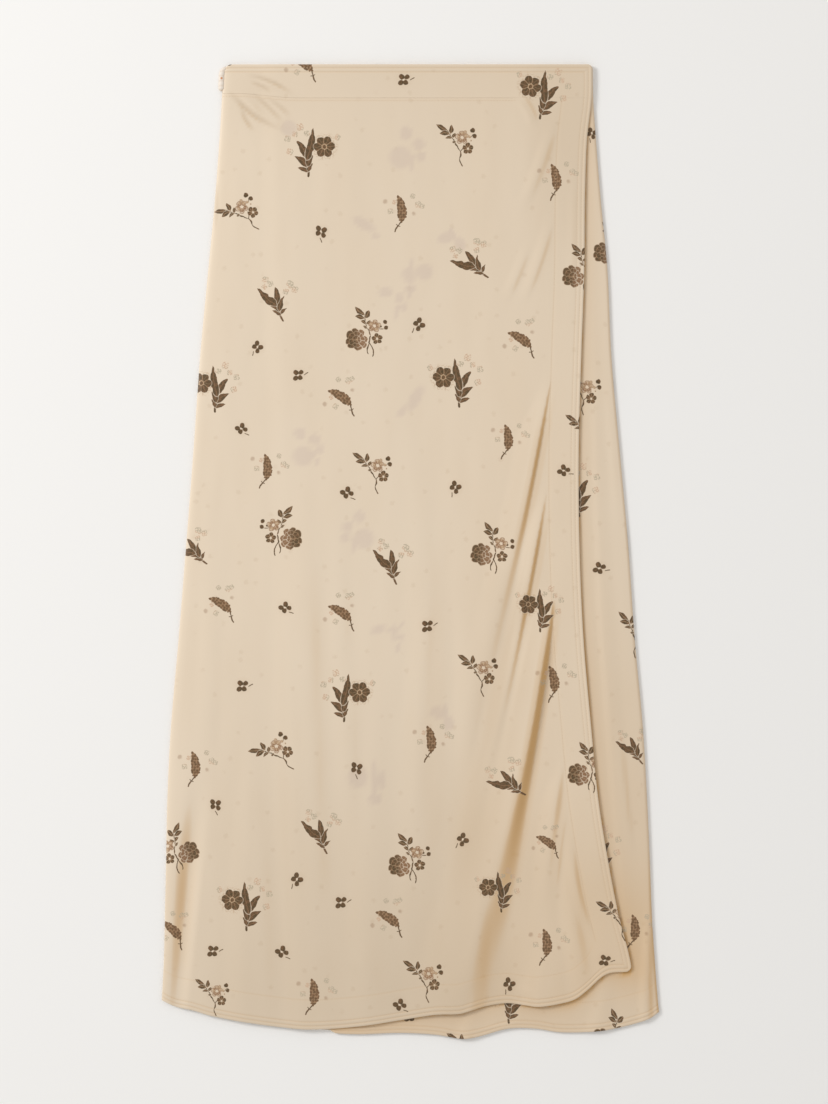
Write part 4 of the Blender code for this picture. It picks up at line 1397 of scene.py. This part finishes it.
# Painted shade in the ribs, the pleats and the tucked ends.
gather_shade = RIB_SHADE * rib**3 + PLEAT_SHADE * pleat + TUCK_SHADE * (1.0 - tucked)
mark(loop, "painted_gather_shade", np.clip(gather_shade, 0.0, 1.0))
loop.data.materials.append(make_material(
    "tie_satin", tie_colour, {"Roughness": SATIN_ROUGHNESS, "Specular IOR Level": SATIN_SPECULAR},
    LOOP_WEAVE_STRETCH, LOOP_RELIEF,
))
bpy.ops.object.mode_set(mode="EDIT")
bpy.ops.mesh.select_all(action="SELECT")
bpy.ops.mesh.normals_make_consistent(inside=False)
bpy.ops.object.mode_set(mode="OBJECT")
bpy.ops.object.shade_smooth()
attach(loop, "root")
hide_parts("side_tie_loop")


# The stitching: two rows of fine topstitching round the waist, free edge and hems, one row that holds
# each facing, and one along the waistband's seam. Each stitch is modelled once and set along its row.
THREAD = (0.560, 0.395, 0.240, 1.0)
THREAD_ROUGHNESS = 0.55
THREAD_TWIST_SCALE = 1500.0
STITCH_LONG = 2.1
STITCH_THICK = 0.34
STITCH_PITCH = 2.9
STITCH_SUNK = 0.02
FACING_CORNER = 14.0
ROW_STEP = 3.0
FROM_HIP = 1.5
FACING_FROM_HIP = 2.0
FACING_FROM_BAND = 2.0
FROM_HIDDEN_EDGE = 3.0
SEAM_STITCHES_END = SEAM_ENDS - 4.0
UNDER_HEM_RIGHT = 930.0

thread = make_material(
    "sewing_thread", lambda place: mixed(speckle(place, THREAD_TWIST_SCALE), THREAD, SAND_DEEP),
    {"Roughness": THREAD_ROUGHNESS},
)
stitch = start_mesh(
    "stitch", bpy.ops.mesh.primitive_uv_sphere_add,
    segments=6, ring_count=4, radius=0.5 * MM, rotation=(0.0, math.pi / 2.0, 0.0),
)
stitch.scale = (STITCH_THICK, STITCH_THICK, STITCH_LONG)
bpy.ops.object.transform_apply(location=False, rotation=True, scale=True)
bpy.ops.object.shade_smooth()
stitch.data.materials.append(thread)


def sew(name, across, down, height):
    """Set stitches one after another along a row on the cloth."""
    bpy.ops.object.select_all(action="DESELECT")
    row_data = bpy.data.curves.new("row", "CURVE")
    row_data.dimensions = "3D"
    row_data.twist_mode = "Z_UP"
    spline = row_data.splines.new("POLY")
    spline.points.add(len(across) - 1)
    places = (across * MM, (MIDDLE_DOWN - down) * MM, (height - STITCH_SUNK) * MM, np.ones(len(across)))
    spline.points.foreach_set("co", np.stack(places, axis=1).ravel())
    row = bpy.data.objects.new("row", row_data)
    sewn = stitch.copy()
    sewn.data = stitch.data.copy()
    sewn.name = sewn.data.name = name
    for obj in (row, sewn):
        bpy.context.scene.collection.objects.link(obj)
    many = sewn.modifiers.new("many", "ARRAY")
    many.fit_type = "FIT_CURVE"
    many.curve = row
    many.use_relative_offset = False
    many.use_constant_offset = True
    many.constant_offset_displace = (STITCH_PITCH * MM, 0.0, 0.0)
    along = sewn.modifiers.new("along", "CURVE")
    along.object = row
    sewn.select_set(True)
    bpy.context.view_layer.objects.active = sewn
    for modifier in (many.name, along.name):
        bpy.ops.object.modifier_apply(modifier=modifier)
    bpy.data.objects.remove(row)
    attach(sewn, "root")


corner_down = float(front_ends[-1])
corner_across = section("free_edge", corner_down)


def edge_row(inside, first_down, from_hip, top_across=()):
    """A row down the free edge and along the hem, and its distances from the two."""
    side_down = np.arange(first_down, corner_down - inside, ROW_STEP)
    hem_long = float(corner_across - section("left", corner_down)) - from_hip
    hem_across = corner_across - np.arange(inside, hem_long, ROW_STEP)
    across = np.concatenate((top_across, section("free_edge", side_down) - inside, hem_across))
    hem = through(FRONT_HEM, 1, hem_across) - inside
    down = np.concatenate((np.full(len(top_across), inside), side_down, hem))
    from_free = section("free_edge", np.minimum(down, corner_down)) - across
    return across, down, from_free, through(FRONT_HEM, 1, across) - down


for number, inside in enumerate(EDGE_ROWS, start=1):
    top_from, top_to = float(section("left", inside)), float(section("free_edge", inside))
    top_across = np.arange(top_from + FROM_HIP, top_to - inside, ROW_STEP)
    across, down, from_free, from_hem = edge_row(inside, inside, FROM_HIP, top_across)
    height = front_relief(across, down) + edge_proud(from_free, np.minimum(from_hem, down))
    off_side, off_hem = corner_rounded(from_free, from_hem)
    off_top_side, off_top = corner_rounded(from_free, down, BAND_CORNER_ROUND)
    sew("edge_stitches_%d" % number, across - off_side - off_top_side, down - off_hem + off_top, height)

across, down, from_free, from_hem = edge_row(FACING_ROW, BAND_DEEP + FACING_FROM_BAND, FACING_FROM_HIP)
off_side, off_hem = corner_rounded(from_free - FACING_ROW, from_hem - FACING_ROW, FACING_CORNER)
across, down = across - off_side, down - off_hem
sew("facing_stitches", across, down, front_relief(across, down) + FACING_SUNK)

across = np.arange(float(section("left", SEAM_ROW)) + FROM_HIP, SEAM_STITCHES_END, ROW_STEP)
down = np.full(across.shape, SEAM_ROW)
sew("seam_stitches", across, down - seam_rise(across, down), front_relief(across, down))

hem_left = float(hidden_edge(SKIRT_LONG)) + FROM_HIDDEN_EDGE
across = np.arange(hem_left, float(section("right", UNDER_HEM_RIGHT)) - FROM_HIP, ROW_STEP)
for number, inside in enumerate((*EDGE_ROWS, FACING_ROW), start=1):
    down = through(UNDER_HEM, 1, across) - inside
    height = under_height(across, down) + edge_proud(PLAIN, np.full(across.shape, inside))
    sew("under_hem_stitches_%d" % number, across, down, height)
bpy.data.objects.remove(stitch)


# The setting: a pale floor, one large soft light up and to the left, and a camera straight above.
FLOOR_COLOUR = (0.90, 0.885, 0.862, 1.0)
FLOOR_ROUGHNESS = 0.9
FLOOR_WIDE = 6.0
FLOOR_LEVEL = -0.0003
LIGHT_PLACE = (-3.12, 1.45, 2.41)
LIGHT_WIDE = 1.3
LIGHT_POWER = 84.0
ROOM_COLOUR = (1.0, 0.995, 0.985, 1.0)
ROOM_LIGHT = 0.68
CAMERA_PLACE = (0.0032, -0.0003, 2.571)
CAMERA_LENS = 85.0

floor = start_mesh(
    "floor", bpy.ops.mesh.primitive_grid_add,
    x_subdivisions=4, y_subdivisions=4, size=FLOOR_WIDE, location=(0.0, 0.0, FLOOR_LEVEL),
)
floor.data.materials.append(make_material(
    "pale_floor", lambda place: FLOOR_COLOUR, {"Roughness": FLOOR_ROUGHNESS}
))

key_data = bpy.data.lights.new("key", "AREA")
key_data.shape = "DISK"
key_data.size = LIGHT_WIDE
key_data.energy = LIGHT_POWER
key = bpy.data.objects.new("key", key_data)
key.location = LIGHT_PLACE
key.rotation_euler = (-key.location).to_track_quat("-Z", "Y").to_euler()
bpy.context.scene.collection.objects.link(key)

world = bpy.data.worlds.new("studio")
world.use_nodes = True
plug(world.node_tree.nodes["Background"], {"Color": ROOM_COLOUR, "Strength": ROOM_LIGHT})
bpy.context.scene.world = world
bpy.context.scene.view_settings.view_transform = "Standard"

camera_data = bpy.data.cameras.new("camera")
camera_data.lens = CAMERA_LENS
camera = bpy.data.objects.new("camera", camera_data)
camera.location = CAMERA_PLACE
bpy.context.scene.collection.objects.link(camera)
bpy.context.scene.camera = camera
